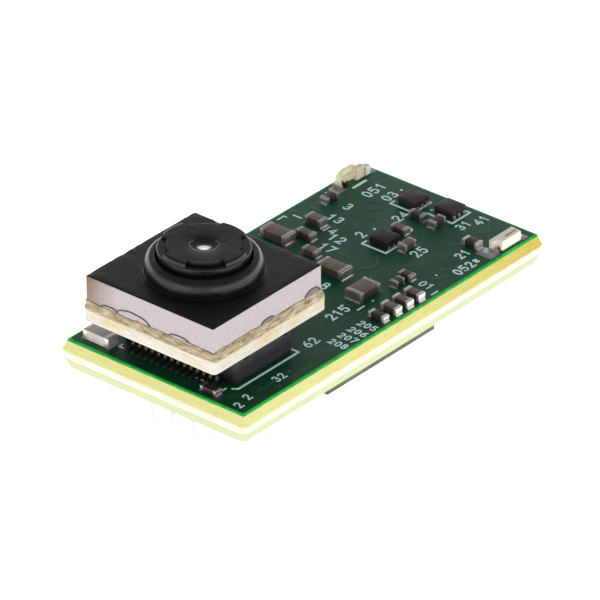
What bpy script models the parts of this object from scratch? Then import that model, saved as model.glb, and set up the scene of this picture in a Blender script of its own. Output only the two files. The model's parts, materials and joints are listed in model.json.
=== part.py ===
"""Plug-in miniature camera board: a small printed board with a square camera
module plugged onto one end, chip parts and two lamps on top, and a pin header
and processor underneath.  Metres, +Z up along the optical axis.
Origin: centre of the pin header's seating face."""
import bpy
import bmesh
import math
from mathutils import Vector

for _o in list(bpy.data.objects):
    bpy.data.objects.remove(_o, do_unlink=True)

MM = 0.001

# ---------------------------------------------------------------- dimensions, mm
BOARD_W = 11.0            # short side, along X
BOARD_L = 22.0            # long side, along Y
BOARD_T = 1.4
SCORE_DEPTH = 0.56        # V-scored edge, above and below the broken web
SCORE_OUT = 0.23
BOARD_BACK = 0.20         # the far end is cut this much longer than the near end
GAP = 0.012               # clearance between pieces that touch

HEADER_PITCH = 1.27
HEADER_COLS = 5
HEADER_ROW_Y = (-8.44, -7.17)
HEADER_BODY_T = 1.5
PIN_SIDE = 0.40
PIN_TIP_Z = -5.80

# everything below is placed from the centre of the board's top face; this
# offset moves it so that the origin is the header's seating face
OFF_Y = -0.5 * (HEADER_ROW_Y[0] + HEADER_ROW_Y[1])
OFF_Z = BOARD_T + HEADER_BODY_T

SOCKET_L, SOCKET_W, SOCKET_H = 7.0, 4.2, 1.30
SOCKET_Y = -7.1
SLOT_L, SLOT_W, SLOT_FLOOR = 6.1, 2.3, 0.35
PLUG_L, PLUG_W = 6.9, 4.1
TONGUE_L, TONGUE_W, TONGUE_Z = 5.9, 2.1, 0.50
CONTACT_PITCH, CONTACTS = 0.40, 14

MODULE_X, MODULE_Y = -0.065, -7.23
MODULE_SIDE = 8.16
MODULE_Z0, MODULE_Z1 = 1.70, 2.36
GLUE_Z1 = 2.72
HOLDER_X, HOLDER_Y = -0.10, -7.26
HOLDER_SIDE = 7.86
HOLDER_Z1 = 4.10
LENS_X, LENS_Y = -0.06, -7.26
COLLAR_R, COLLAR_TOP, COLLAR_FILLET = 2.87, 5.00, 0.30
BORE_R = 2.28
CAVITY = 6.1
CAVITY_ROOF = 3.36
BARREL_R, BARREL_Z0, BARREL_TOP = 2.25, 3.58, 5.60
NOTCH_FLOOR, NOTCH_IN_R, NOTCH_HALF_DEG = 5.38, 1.82, 26.0
NOTCH_PHASE_DEG = -47.5
APERTURE_R = 0.325
LENS_BORE_R = 1.75

CHIP_IC_SIDE, CHIP_IC_H = 1.10, 0.40
PROC_X0, PROC_X1, PROC_Y0, PROC_Y1, PROC_T = -3.35, 4.75, -3.95, 4.15, 0.98


# ---------------------------------------------------------------- helpers
def P(x, y, z):
    return Vector((x * MM, (y + OFF_Y) * MM, (z + OFF_Z) * MM))


def material(name, color, metallic=0.0, rough=0.5, alpha=1.0):
    m = bpy.data.materials.get(name)
    if m is None:
        m = bpy.data.materials.new(name)
        m.use_nodes = True
        b = m.node_tree.nodes["Principled BSDF"]
        b.inputs["Base Color"].default_value = (color[0], color[1], color[2], 1.0)
        b.inputs["Metallic"].default_value = metallic
        b.inputs["Roughness"].default_value = rough
        b.inputs["Alpha"].default_value = alpha
        m.diffuse_color = (color[0], color[1], color[2], 1.0)
    return m


def finish(name, bm, mat, smooth=False, cutter=False):
    bmesh.ops.recalc_face_normals(bm, faces=bm.faces[:])
    me = bpy.data.meshes.new(name)
    bm.to_mesh(me)
    bm.free()
    ob = bpy.data.objects.new(name, me)
    bpy.context.scene.collection.objects.link(ob)
    if smooth:
        for p in me.polygons:
            p.use_smooth = True
        me.set_sharp_from_angle(angle=math.radians(32))
    if cutter:
        ob.hide_render = True
        ob.display_type = "WIRE"
    else:
        me.materials.append(mat)
    return ob


def rings(name, sections, mat, smooth=False, cutter=False):
    """Closed body through a list of equal-length closed sections."""
    bm = bmesh.new()
    loops = [[bm.verts.new(p) for p in s] for s in sections]
    n = len(loops[0])
    for a, b in zip(loops[:-1], loops[1:]):
        for i in range(n):
            j = (i + 1) % n
            bm.faces.new((a[i], a[j], b[j], b[i]))
    bm.faces.new(list(reversed(loops[0])))
    bm.faces.new(loops[-1])
    return finish(name, bm, mat, smooth, cutter)


def rect(cx, cy, lx, ly, z, c=0.0):
    """Rectangle in plan at height z, corners cut by c."""
    hx, hy = lx / 2, ly / 2
    if c <= 0:
        q = [(hx, -hy), (hx, hy), (-hx, hy), (-hx, -hy)]
    else:
        k = c * 0.3
        q = []
        for sx, sy, first in ((1, -1, "x"), (1, 1, "y"), (-1, 1, "x"), (-1, -1, "y")):
            a = (sx * (hx - c), sy * hy)
            m = (sx * (hx - k), sy * (hy - k))
            b = (sx * hx, sy * (hy - c))
            q += [a, m, b] if first == "x" else [b, m, a]
    return [P(cx + x, cy + y, z) for x, y in q]


def block(name, cx, cy, lx, ly, z0, z1, mat, c=0.0, e=0.0, cutter=False):
    """Box with cut corners c and eased top and bottom edges e."""
    if e > 0:
        s = [rect(cx, cy, lx - 2 * e, ly - 2 * e, z0, max(c - e * 0.5, 0.001) if c else 0),
             rect(cx, cy, lx, ly, z0 + e, c),
             rect(cx, cy, lx, ly, z1 - e, c),
             rect(cx, cy, lx - 2 * e, ly - 2 * e, z1, max(c - e * 0.5, 0.001) if c else 0)]
    else:
        s = [rect(cx, cy, lx, ly, z0, c), rect(cx, cy, lx, ly, z1, c)]
    return rings(name, s, mat, cutter=cutter)


def lathe(name, cx, cy, profile, mat, segs=64, cutter=False):
    """Closed body of revolution; profile is (r, z) and starts and ends anywhere:
    points on the axis become poles, otherwise the profile closes on itself."""
    bm = bmesh.new()
    cols = []
    for r, z in profile:
        if r < 1e-6:
            cols.append([bm.verts.new(P(cx, cy, z))])
        else:
            cols.append([bm.verts.new(P(cx + r * math.cos(2 * math.pi * i / segs),
                                        cy + r * math.sin(2 * math.pi * i / segs), z))
                         for i in range(segs)])
    closed = profile[0][0] > 1e-6 and profile[-1][0] > 1e-6
    pairs = list(zip(cols[:-1], cols[1:]))
    if closed:
        pairs.append((cols[-1], cols[0]))
    for a, b in pairs:
        for i in range(segs):
            j = (i + 1) % segs
            if len(a) == 1 and len(b) == 1:
                continue
            if len(a) == 1:
                bm.faces.new((a[0], b[j], b[i]))
            elif len(b) == 1:
                bm.faces.new((a[i], a[j], b[0]))
            else:
                bm.faces.new((a[i], a[j], b[j], b[i]))
    return finish(name, bm, mat, smooth=True, cutter=cutter)


def boolean(ob, other, op):
    m = ob.modifiers.new(op.lower() + "_" + other.name, "BOOLEAN")
    m.operation = op
    m.solver = "EXACT"
    m.object = other


def chip(name, cx, cy, lx, ly, h, mat, cap=0.26):
    """Two-terminal chip: end caps a hair larger than the body."""
    along_x = lx >= ly
    L, W = (lx, ly) if along_x else (ly, lx)
    cap = min(cap, 0.28 * L)
    d, e = 0.018, 0.03
    prof = [(-L / 2, e), (-L / 2 + e, 0.0), (-L / 2 + cap, 0.0), (-L / 2 + cap, d),
            (L / 2 - cap, d), (L / 2 - cap, 0.0), (L / 2 - e, 0.0), (L / 2, e)]
    secs = []
    z0 = GAP
    for t, s in prof:
        w, b, u = W / 2 - s, z0 + s * 0.5, z0 + h - s
        k = 0.035
        pts = [(w - k, b), (w, b + k), (w, u - k), (w - k, u), (-w + k, u), (-w, u - k),
               (-w, b + k), (-w + k, b)]
        secs.append([P(cx + t, cy + a, z) if along_x else P(cx + a, cy + t, z)
                     for a, z in pts])
    return rings(name, secs, mat)


# ---------------------------------------------------------------- materials
M_PCB = material("solder_mask_green", (0.010, 0.110, 0.050), 0.0, 0.35)
M_BLACK = material("black_plastic", (0.020, 0.019, 0.021), 0.0, 0.42)
M_SATIN = material("holder_black", (0.018, 0.017, 0.019), 0.0, 0.38)
M_BARREL = material("barrel_black", (0.015, 0.015, 0.016), 0.0, 0.30)
M_CONTACT = material("tinned_contact", (0.42, 0.36, 0.28), 1.0, 0.35)
M_MODPCB = material("module_laminate", (0.80, 0.76, 0.62), 0.0, 0.6)
M_GLUE = material("adhesive_tan", (0.34, 0.26, 0.14), 0.0, 0.45)
M_DIE = material("sensor_die", (0.10, 0.09, 0.12), 0.2, 0.15)
M_GLASS = material("lens_glass", (0.85, 0.92, 0.95), 0.0, 0.05, 0.35)
M_FILTER = material("filter_glass", (0.60, 0.85, 0.88), 0.0, 0.05, 0.35)
M_CAP = material("ceramic_chip", (0.30, 0.22, 0.17), 0.0, 0.45)
M_RES = material("resistor_chip", (0.06, 0.05, 0.05), 0.0, 0.45)
M_IC = material("chip_package", (0.050, 0.040, 0.042), 0.0, 0.45)
M_PROC = material("processor_package", (0.045, 0.042, 0.040), 0.0, 0.5)
M_LAMP = material("lamp_body", (0.86, 0.84, 0.70), 0.0, 0.3)
M_HEADER = material("header_black", (0.022, 0.022, 0.022), 0.0, 0.5)
M_PIN = material("plated_pin", (0.78, 0.76, 0.72), 1.0, 0.28)
M_RING = material("retainer_black", (0.02, 0.02, 0.02), 0.0, 0.4)

# ---------------------------------------------------------------- main board
secs = []
for z, out in ((0.0, 0.0), (-SCORE_DEPTH, SCORE_OUT),
               (-(BOARD_T - SCORE_DEPTH), SCORE_OUT), (-BOARD_T, 0.0)):
    secs.append(rect(0, BOARD_BACK / 2, BOARD_W + 2 * out, BOARD_L + BOARD_BACK + 2 * out, z, 0.12 + out * 0.4))
rings("main_board", secs, M_PCB)

# ---------------------------------------------------------------- socket on the board
block("socket_housing", 0, SOCKET_Y, SOCKET_L, SOCKET_W, GAP, SOCKET_H, M_BLACK,
      c=0.22, e=0.05)
sock = bpy.data.objects["socket_housing"]
boolean(sock, block("cut_socket_slot", 0, SOCKET_Y, SLOT_L, SLOT_W, SLOT_FLOOR,
                    SOCKET_H + 0.5, None, cutter=True), "DIFFERENCE")


def comb(name, side):
    """Row of solder tails joined by the strip moulded under the housing edge."""
    y_in = SOCKET_Y + side * (SOCKET_W / 2 + GAP)
    bar = 0.14
    y1 = y_in + side * bar
    y2 = y_in + side * 0.80
    n = CONTACTS
    x0 = -CONTACT_PITCH * (n - 1) / 2
    w = 0.085
    top = []
    edge = CONTACT_PITCH * 0.35
    path = [(x0 - edge, y_in), (x0 - edge, y1)]
    for i in range(n):
        x = x0 + CONTACT_PITCH * i
        path += [(x - w, y1), (x - w, y2), (x + w, y2), (x + w, y1)]
    path += [(-x0 + edge, y1), (-x0 + edge, y_in)]
    if side > 0:
        path = list(reversed(path))
    lo = [P(x, y, GAP) for x, y in path]
    hi = [P(x, y, 0.15) for x, y in path]
    return rings(name, [lo, hi], M_CONTACT)


comb("socket_tails_front", -1)
comb("socket_tails_rear", 1)

# ---------------------------------------------------------------- camera module
block("module_plug", 0, SOCKET_Y, PLUG_L, PLUG_W, SOCKET_H + GAP, MODULE_Z0 - GAP,
      M_BLACK, c=0.20)
boolean(bpy.data.objects["module_plug"],
        block("add_tongue", 0, SOCKET_Y, TONGUE_L, TONGUE_W, TONGUE_Z, SOCKET_H + 0.1,
              None, c=0.12, cutter=True), "UNION")

block("module_board", MODULE_X, MODULE_Y, MODULE_SIDE, MODULE_SIDE, MODULE_Z0, MODULE_Z1,
      M_MODPCB, c=0.28)

# sensor die on the module board
block("image_sensor", LENS_X, LENS_Y, 5.2, 4.4, MODULE_Z1 + GAP, MODULE_Z1 + 0.30, M_DIE)

# adhesive bead: a square ring with a soft bulge
g_out = HOLDER_SIDE + 0.06
block("adhesive_bead", HOLDER_X, HOLDER_Y, g_out, g_out, MODULE_Z1 + GAP, GLUE_Z1 - GAP,
      M_GLUE, c=0.30, e=0.05)
boolean(bpy.data.objects["adhesive_bead"],
        block("cut_glue", HOLDER_X, HOLDER_Y, CAVITY + 0.1, CAVITY + 0.1, MODULE_Z1 - 0.3,
              GLUE_Z1 + 0.3, None, cutter=True), "DIFFERENCE")

# lens holder: square cup with a round, filleted collar
fil = [(COLLAR_R - COLLAR_FILLET * (1 - math.cos(a)), COLLAR_TOP - COLLAR_FILLET * (1 - math.sin(a)))
       for a in [math.radians(d) for d in (0, 18, 36, 54, 72, 90)]]
holder = block("lens_holder", HOLDER_X, HOLDER_Y, HOLDER_SIDE, HOLDER_SIDE, GLUE_Z1, HOLDER_Z1,
               M_SATIN, c=0.07, e=0.03)
collar = lathe("add_collar", LENS_X, LENS_Y,
               [(0, 3.6), (COLLAR_R, 3.6)] + fil + [(0, COLLAR_TOP)], None, 72, cutter=True)
boolean(holder, collar, "UNION")
boolean(holder, block("cut_cavity", HOLDER_X, HOLDER_Y, CAVITY, CAVITY, GLUE_Z1 - 0.5,
                      CAVITY_ROOF, None, cutter=True), "DIFFERENCE")
boolean(holder, lathe("cut_bore", LENS_X, LENS_Y,
                      [(0, 3.0), (BORE_R, 3.0), (BORE_R, COLLAR_TOP - 0.06),
                       (BORE_R + 0.08, COLLAR_TOP + 0.02), (BORE_R + 0.08, 5.5), (0, 5.5)],
                      None, 72, cutter=True), "DIFFERENCE")

block("infrared_filter", LENS_X, LENS_Y, 5.4, 5.4, 3.08, CAVITY_ROOF - GAP, M_FILTER)

# ---------------------------------------------------------------- lens barrel and optics
barrel = lathe("lens_barrel", LENS_X, LENS_Y, [
    (LENS_BORE_R, BARREL_Z0), (BARREL_R - 0.04, BARREL_Z0), (BARREL_R, BARREL_Z0 + 0.04),
    (BARREL_R, 5.34), (BARREL_R - 0.03, NOTCH_FLOOR - 0.005), (2.13, 5.53), (2.05, BARREL_TOP - 0.01),
    (2.00, BARREL_TOP), (1.00, BARREL_TOP), (0.75, 5.56), (0.57, 5.44),
    (0.50, 5.40), (APERTURE_R, 5.38), (APERTURE_R, 5.28), (APERTURE_R + 0.10, 5.20),
    (0.60, 5.02), (LENS_BORE_R, 4.94)], M_BARREL, 96)
for k in range(4):
    a0 = math.radians(NOTCH_PHASE_DEG + 90 * k)
    h = math.radians(NOTCH_HALF_DEG)
    pts = []
    for t in (-1.0, -0.5, 0.0, 0.5, 1.0):
        pts.append((NOTCH_IN_R, a0 + h * t))
    for t in (1.0, 0.0, -1.0):
        pts.append((3.0, a0 + h * t * 0.8))
    q = [(LENS_X + r * math.cos(a), LENS_Y + r * math.sin(a)) for r, a in pts]
    cut = rings("cut_notch_%d" % k, [[P(x, y, NOTCH_FLOOR) for x, y in q],
                                     [P(x, y, 6.2) for x, y in q]], None, cutter=True)
    boolean(barrel, cut, "DIFFERENCE")

R_L = LENS_BORE_R - 0.03
lathe("front_lens", LENS_X, LENS_Y, [
    (0, 5.26), (0.28, 5.25), (0.34, 5.19), (0.52, 5.00), (0.80, 4.955), (R_L, 4.90), (R_L, 4.50),
    (1.10, 4.50), (0.70, 4.60), (0, 4.66)], M_GLASS, 48)
lathe("lens_spacer", LENS_X, LENS_Y, [
    (1.20, 4.44), (R_L, 4.44), (R_L, 4.49), (1.20, 4.49)], M_RING, 48)
lathe("rear_lens", LENS_X, LENS_Y, [
    (0, 4.42), (0.80, 4.38), (1.15, 4.30), (R_L, 4.30), (R_L, 4.02), (1.20, 4.02),
    (0.80, 3.96), (0, 3.90)], M_GLASS, 48)
lathe("retaining_ring", LENS_X, LENS_Y, [
    (1.25, 3.66), (R_L, 3.66), (R_L, 4.00), (1.25, 4.00)], M_RING, 48)

# ---------------------------------------------------------------- chip parts on top
# name: centre x, centre y, length x, length y, height, material
CHIPS = (
    ("cap_front_left", -4.09, -10.12, 1.60, 0.80, 0.55, M_CAP),
    ("cap_front_right", 2.95, -10.36, 1.00, 0.48, 0.30, M_RES),
    ("cap_mid_left", -3.95, 2.75, 1.60, 0.85, 0.50, M_CAP),
    ("cap_mid", 0.32, 1.88, 1.60, 0.90, 0.50, M_CAP),
    ("cap_mid_right", 2.66, 1.19, 1.00, 1.50, 0.50, M_CAP),
    ("cap_left_a", -3.40, 5.00, 1.00, 0.60, 0.45, M_CAP),
    ("cap_left_b", -2.92, 3.66, 1.00, 0.50, 0.40, M_CAP),
    ("cap_left_c", -1.65, 2.55, 0.90, 0.50, 0.38, M_CAP),
    ("chip_row_1", 4.70, -0.10, 1.00, 0.45, 0.33, M_RES),
    ("chip_row_2", 4.75, 0.80, 1.00, 0.50, 0.42, M_CAP),
    ("chip_row_3", 4.76, 1.66, 1.00, 0.50, 0.42, M_CAP),
    ("chip_row_4", 4.76, 2.52, 1.00, 0.50, 0.42, M_CAP),
    ("chip_pair_1", 3.34, 2.98, 0.45, 0.65, 0.33, M_RES),
    ("chip_pair_2", 3.32, 3.74, 0.80, 0.46, 0.33, M_RES),
    ("cap_center", 1.48, 6.00, 0.50, 0.90, 0.40, M_CAP),
    ("cap_by_sensor_ic", 0.22, 7.02, 0.90, 0.48, 0.36, M_CAP),
    ("cap_rear_left", 0.02, 8.62, 0.90, 0.46, 0.35, M_RES),
    ("cap_rear_right", 1.12, 8.74, 0.46, 0.90, 0.36, M_RES),
    ("res_lamp_left", -4.42, 7.22, 0.50, 0.90, 0.35, M_RES),
    ("res_lamp_right", 3.76, 8.24, 0.95, 0.50, 0.35, M_RES),
)
for n, x, y, lx, ly, h, m in CHIPS:
    chip(n, x, y, lx, ly, h, m)

for n, x, y in (("driver_ic", 0.30, 5.77), ("regulator_left", -1.12, 9.69),
                ("regulator_right", 0.83, 10.14)):
    rings(n, [rect(x, y, CHIP_IC_SIDE - 0.04, CHIP_IC_SIDE - 0.04, GAP, 0.03),
              rect(x, y, CHIP_IC_SIDE, CHIP_IC_SIDE, 0.16, 0.03),
              rect(x, y, CHIP_IC_SIDE - 0.02, CHIP_IC_SIDE - 0.02, CHIP_IC_H - 0.03, 0.03),
              rect(x, y, CHIP_IC_SIDE - 0.08, CHIP_IC_SIDE - 0.08, CHIP_IC_H, 0.03)], M_IC)


def lamp(name, cx, cy, dome=0.0, rise=0.0):
    """Small edge lamp: thin base strip with a rounded lens block on it, made longer by dome and taller by rise."""
    w, L = 0.74, 1.80
    side = [(-L / 2, GAP), (L / 2, GAP), (L / 2, 0.20), (0.62, 0.20), (0.58, 0.46),
            (0.50, 0.56), (0.36, 0.62), (-0.36, 0.62), (-0.50, 0.56), (-0.58, 0.46),
            (-0.62, 0.20), (-L / 2, 0.20)]
    side = [(y + (dome if y > 0 else -dome), z + (rise if z > 0.3 else 0.0)) for y, z in side]
    return rings(name, [[P(cx - w / 2, cy + y, z) for y, z in side],
                        [P(cx + w / 2, cy + y, z) for y, z in side]], M_LAMP)


lamp("lamp_left", -4.97, 9.62, dome=0.22, rise=0.10)
lamp("lamp_right", 4.90, 9.36)

# ---------------------------------------------------------------- underside
block("processor_ic", 0.5 * (PROC_X0 + PROC_X1), 0.5 * (PROC_Y0 + PROC_Y1),
      PROC_X1 - PROC_X0, PROC_Y1 - PROC_Y0, -BOARD_T - PROC_T, -BOARD_T - GAP, M_PROC,
      c=0.06, e=0.04)

hb_x = HEADER_PITCH * HEADER_COLS
hb_y = 2.60
hy = 0.5 * (HEADER_ROW_Y[0] + HEADER_ROW_Y[1])
header = block("header_body", 0, hy, hb_x, hb_y, -BOARD_T - HEADER_BODY_T, -BOARD_T - 0.16,
               M_HEADER, c=0.20)
for r, ry in enumerate(HEADER_ROW_Y):
    for i in range(HEADER_COLS):
        x = (i - (HEADER_COLS - 1) / 2) * HEADER_PITCH
        s = PIN_SIDE + 2 * GAP
        boolean(header, block("cut_pin_%d_%d" % (r + 1, i + 1), x, ry, s, s,
                              -BOARD_T - HEADER_BODY_T - 0.4, -BOARD_T + 0.1, None,
                              cutter=True), "DIFFERENCE")

for r, ry in enumerate(HEADER_ROW_Y):
    out = -1 if r == 0 else 1
    for i in range(HEADER_COLS):
        x = (i - (HEADER_COLS - 1) / 2) * HEADER_PITCH
        s = PIN_SIDE / 2
        zt = -BOARD_T - GAP
        foot = ry + out * 1.62
        prof = [(ry - out * s, zt), (foot, zt), (foot, zt - 0.13), (ry + out * s, zt - 0.13),
                (ry + out * s, PIN_TIP_Z + 0.22), (ry + out * 0.09, PIN_TIP_Z),
                (ry - out * 0.09, PIN_TIP_Z), (ry - out * s, PIN_TIP_Z + 0.22)]
        rings("header_pin_%d_%d" % (r + 1, i + 1),
              [[P(x - s, y, z) for y, z in prof], [P(x + s, y, z) for y, z in prof]], M_PIN)
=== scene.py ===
import json
import math
import bpy
import bmesh
import numpy as np
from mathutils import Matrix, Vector, noise


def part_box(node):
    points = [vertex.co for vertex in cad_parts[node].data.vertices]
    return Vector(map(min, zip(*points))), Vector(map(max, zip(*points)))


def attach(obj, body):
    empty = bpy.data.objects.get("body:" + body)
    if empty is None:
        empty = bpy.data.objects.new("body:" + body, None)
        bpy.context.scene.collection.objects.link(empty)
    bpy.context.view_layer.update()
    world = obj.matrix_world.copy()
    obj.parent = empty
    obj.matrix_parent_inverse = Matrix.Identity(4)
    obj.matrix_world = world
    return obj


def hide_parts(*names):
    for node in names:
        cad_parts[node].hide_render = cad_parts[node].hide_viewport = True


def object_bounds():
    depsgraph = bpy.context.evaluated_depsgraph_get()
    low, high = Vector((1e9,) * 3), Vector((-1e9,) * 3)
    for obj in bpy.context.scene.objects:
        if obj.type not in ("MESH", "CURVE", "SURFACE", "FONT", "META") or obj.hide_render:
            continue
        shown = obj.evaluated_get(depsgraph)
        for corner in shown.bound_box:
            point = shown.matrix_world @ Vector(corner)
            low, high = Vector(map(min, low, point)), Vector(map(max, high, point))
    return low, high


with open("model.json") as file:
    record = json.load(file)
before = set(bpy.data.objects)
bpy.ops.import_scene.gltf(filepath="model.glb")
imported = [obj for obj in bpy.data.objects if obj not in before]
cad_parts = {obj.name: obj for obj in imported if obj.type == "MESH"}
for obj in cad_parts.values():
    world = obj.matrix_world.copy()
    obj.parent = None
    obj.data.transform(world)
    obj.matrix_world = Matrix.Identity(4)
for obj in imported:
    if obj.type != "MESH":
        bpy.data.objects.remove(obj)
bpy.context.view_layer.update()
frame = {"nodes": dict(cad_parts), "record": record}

MM = 0.001
_lo, _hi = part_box("main_board")
SCORE = 0.23                       # how far the broken web stands proud of the faces, mm
BX, BY, BZ = (_lo.x + _hi.x) / 2, _lo.y + (11.0 + SCORE) * MM, _hi.z   # 11 mm in from the near end, top face
NODE_BODY = {n: b for b, ns in frame["record"]["behaviour"]["bodies"].items() for n in ns}


def P(x, y, z):
    """Board coordinates in mm (origin on the middle of the board's top face) to the row frame in metres."""
    return (BX + x * MM, BY + y * MM, BZ + z * MM)


def nb(name):
    """A CAD node's box in board coordinates, mm."""
    lo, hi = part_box(name)
    return ((lo.x - BX) / MM, (hi.x - BX) / MM, (lo.y - BY) / MM, (hi.y - BY) / MM,
            (lo.z - BZ) / MM, (hi.z - BZ) / MM)


def nz(x, y, z, s=1.0, seed=0.0):
    return noise.noise(Vector((x * s + seed, y * s - seed * 1.7, z * s + seed * 0.37)))


# ------------------------------------------------------------------ shapes
def sub_pts(a, b, n):
    return [(a[0] + (b[0] - a[0]) * k / (n + 1), a[1] + (b[1] - a[1]) * k / (n + 1)) for k in range(1, n + 1)]


def rr(cx, cy, hx, hy, r, z, n=4, sub=(0, 0)):
    """Rounded rectangle in plan, n steps per corner and extra points along the sides."""
    r = max(min(r, hx * 0.98, hy * 0.98), 1e-3)
    pts = []
    for k4, (qx, qy, a0) in enumerate(((1, -1, -90), (1, 1, 0), (-1, 1, 90), (-1, -1, 180))):
        for k in range(n + 1):
            a = math.radians(a0 + 90 * k / n)
            pts.append((cx + qx * (hx - r) + r * math.cos(a), cy + qy * (hy - r) + r * math.sin(a)))
        nx, ny, na = ((1, 1, 0), (-1, 1, 90), (-1, -1, 180), (1, -1, -90))[k4]
        a = math.radians(na)
        nxt = (cx + nx * (hx - r) + r * math.cos(a), cy + ny * (hy - r) + r * math.sin(a))
        pts += sub_pts(pts[-1], nxt, sub[1] if k4 % 2 == 0 else sub[0])
    return [(x, y, z) for x, y in pts]


def loft(secs, caps=True, rows=None, cap_m=(0, 0)):
    n = len(secs[0])
    v = [p for s in secs for p in s]
    f, m = [], []
    for k in range(len(secs) - 1):
        for i in range(n):
            j = (i + 1) % n
            f.append((k * n + i, k * n + j, (k + 1) * n + j, (k + 1) * n + i))
            m.append(rows[k] if rows else 0)
    if caps:
        f.append(tuple(reversed(range(n))))
        f.append(tuple((len(secs) - 1) * n + i for i in range(n)))
        m += [cap_m[0], cap_m[1]]
    return v, f, m


def rbox(cx, cy, lx, ly, z0, z1, r=0.05, e=0.03, seg=3, sub=(0, 0), zrows=0):
    """Box with rounded plan corners r and rounded top and bottom edges e."""
    e = min(e, (z1 - z0) * 0.45, lx * 0.4, ly * 0.4)
    secs = []
    for k in range(seg + 1):
        a = k / seg * math.pi / 2
        i = e * (1 - math.sin(a))
        secs.append(rr(cx, cy, lx / 2 - i, ly / 2 - i, r - i, z0 + e * (1 - math.cos(a)), seg + 1, sub))
    for k in range(1, zrows + 1):
        secs.append(rr(cx, cy, lx / 2, ly / 2, r, z0 + e + (z1 - z0 - 2 * e) * k / (zrows + 1), seg + 1, sub))
    for k in range(seg + 1):
        a = k / seg * math.pi / 2
        i = e * (1 - math.cos(a))
        secs.append(rr(cx, cy, lx / 2 - i, ly / 2 - i, r - i, z1 - e * (1 - math.sin(a)), seg + 1, sub))
    return loft(secs)


def lathe(cx, cy, prof, segs=96, rows=None, fn=None):
    """Closed body of revolution. prof is (r, z); a point on the axis becomes a pole."""
    v, cols = [], []
    for r, z in prof:
        if r < 1e-6:
            cols.append([len(v)])
            v.append((cx, cy, z))
        else:
            c = []
            for i in range(segs):
                a = 2 * math.pi * i / segs
                rr_, zz = (r, z) if fn is None else fn(r, z, a)
                c.append(len(v))
                v.append((cx + rr_ * math.cos(a), cy + rr_ * math.sin(a), zz))
            cols.append(c)
    closed = prof[0][0] > 1e-6 and prof[-1][0] > 1e-6
    pairs = list(zip(cols[:-1], cols[1:])) + ([(cols[-1], cols[0])] if closed else [])
    f, m = [], []
    for k, (a, b) in enumerate(pairs):
        for i in range(segs):
            j = (i + 1) % segs
            if len(a) == 1 and len(b) == 1:
                continue
            if len(a) == 1:
                f.append((a[0], b[j], b[i]))
            elif len(b) == 1:
                f.append((a[i], a[j], b[0]))
            else:
                f.append((a[i], a[j], b[j], b[i]))
            m.append(rows[k] if rows and k < len(rows) else 0)
    return v, f, m


def moved(vfm, fn):
    v, f, m = vfm
    return [fn(*p) for p in v], f, m


def turned(vfm, along_x, cx, cy, flip=False):
    """From local (length, width, z) to the board."""
    s = -1 if flip else 1
    if along_x:
        return moved(vfm, lambda x, y, z: (cx + s * x, cy + s * y, z))
    return moved(vfm, lambda x, y, z: (cx - s * y, cy + s * x, z))


def ribbon(pts, w, z0, h, ends=True, closed=False):
    """Flat strip of width w along a polyline, slightly narrower on top, with round ends."""
    pts = [p for i, p in enumerate(pts) if i == 0 or math.dist(p, pts[i - 1]) > 1e-5]
    n = len(pts)
    secs = []

    def sec(p, d, ww):
        nx, ny = -d[1], d[0]
        t = ww / 2
        u = max(t - h * 0.6, t * 0.5)
        return [(p[0] + nx * t, p[1] + ny * t, z0), (p[0] + nx * u, p[1] + ny * u, z0 + h),
                (p[0] - nx * u, p[1] - ny * u, z0 + h), (p[0] - nx * t, p[1] - ny * t, z0)]

    dirs = []
    for i in range(n if closed else n - 1):
        a, b = pts[i], pts[(i + 1) % n]
        L = math.dist(a, b)
        dirs.append(((b[0] - a[0]) / L, (b[1] - a[1]) / L))
    for i in range(n):
        if closed:
            d0, d1 = dirs[i - 1], dirs[i]
        else:
            d0, d1 = dirs[max(i - 1, 0)], dirs[min(i, n - 2)]
        d = (d0[0] + d1[0], d0[1] + d1[1])
        L = math.hypot(*d) or 1.0
        d = (d[0] / L, d[1] / L)
        c = max(d[0] * d1[0] + d[1] * d1[1], 0.5)
        if ends and not closed and i == 0:
            for k in (0.95, 0.7, 0.35):
                q = math.sqrt(1 - k * k)
                secs.append(sec((pts[0][0] - d[0] * k * w / 2, pts[0][1] - d[1] * k * w / 2), d, w * q))
        secs.append(sec(pts[i], d, w / c))
        if ends and not closed and i == n - 1:
            for k in (0.35, 0.7, 0.95):
                q = math.sqrt(1 - k * k)
                secs.append(sec((pts[-1][0] + d[0] * k * w / 2, pts[-1][1] + d[1] * k * w / 2), d, w * q))
    if closed:
        secs.append(secs[0])
        v, f, m = loft(secs, caps=False)
        k = len(secs) - 1
        f = [tuple(i % (4 * k) for i in q) for q in f]
        return v[:4 * k], f, m
    return loft(secs)


def arc(cx, cy, rx, ry, a0, a1, n=10):
    return [(cx + rx * math.cos(math.radians(a0 + (a1 - a0) * k / n)),
             cy + ry * math.sin(math.radians(a0 + (a1 - a0) * k / n))) for k in range(n + 1)]


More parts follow.
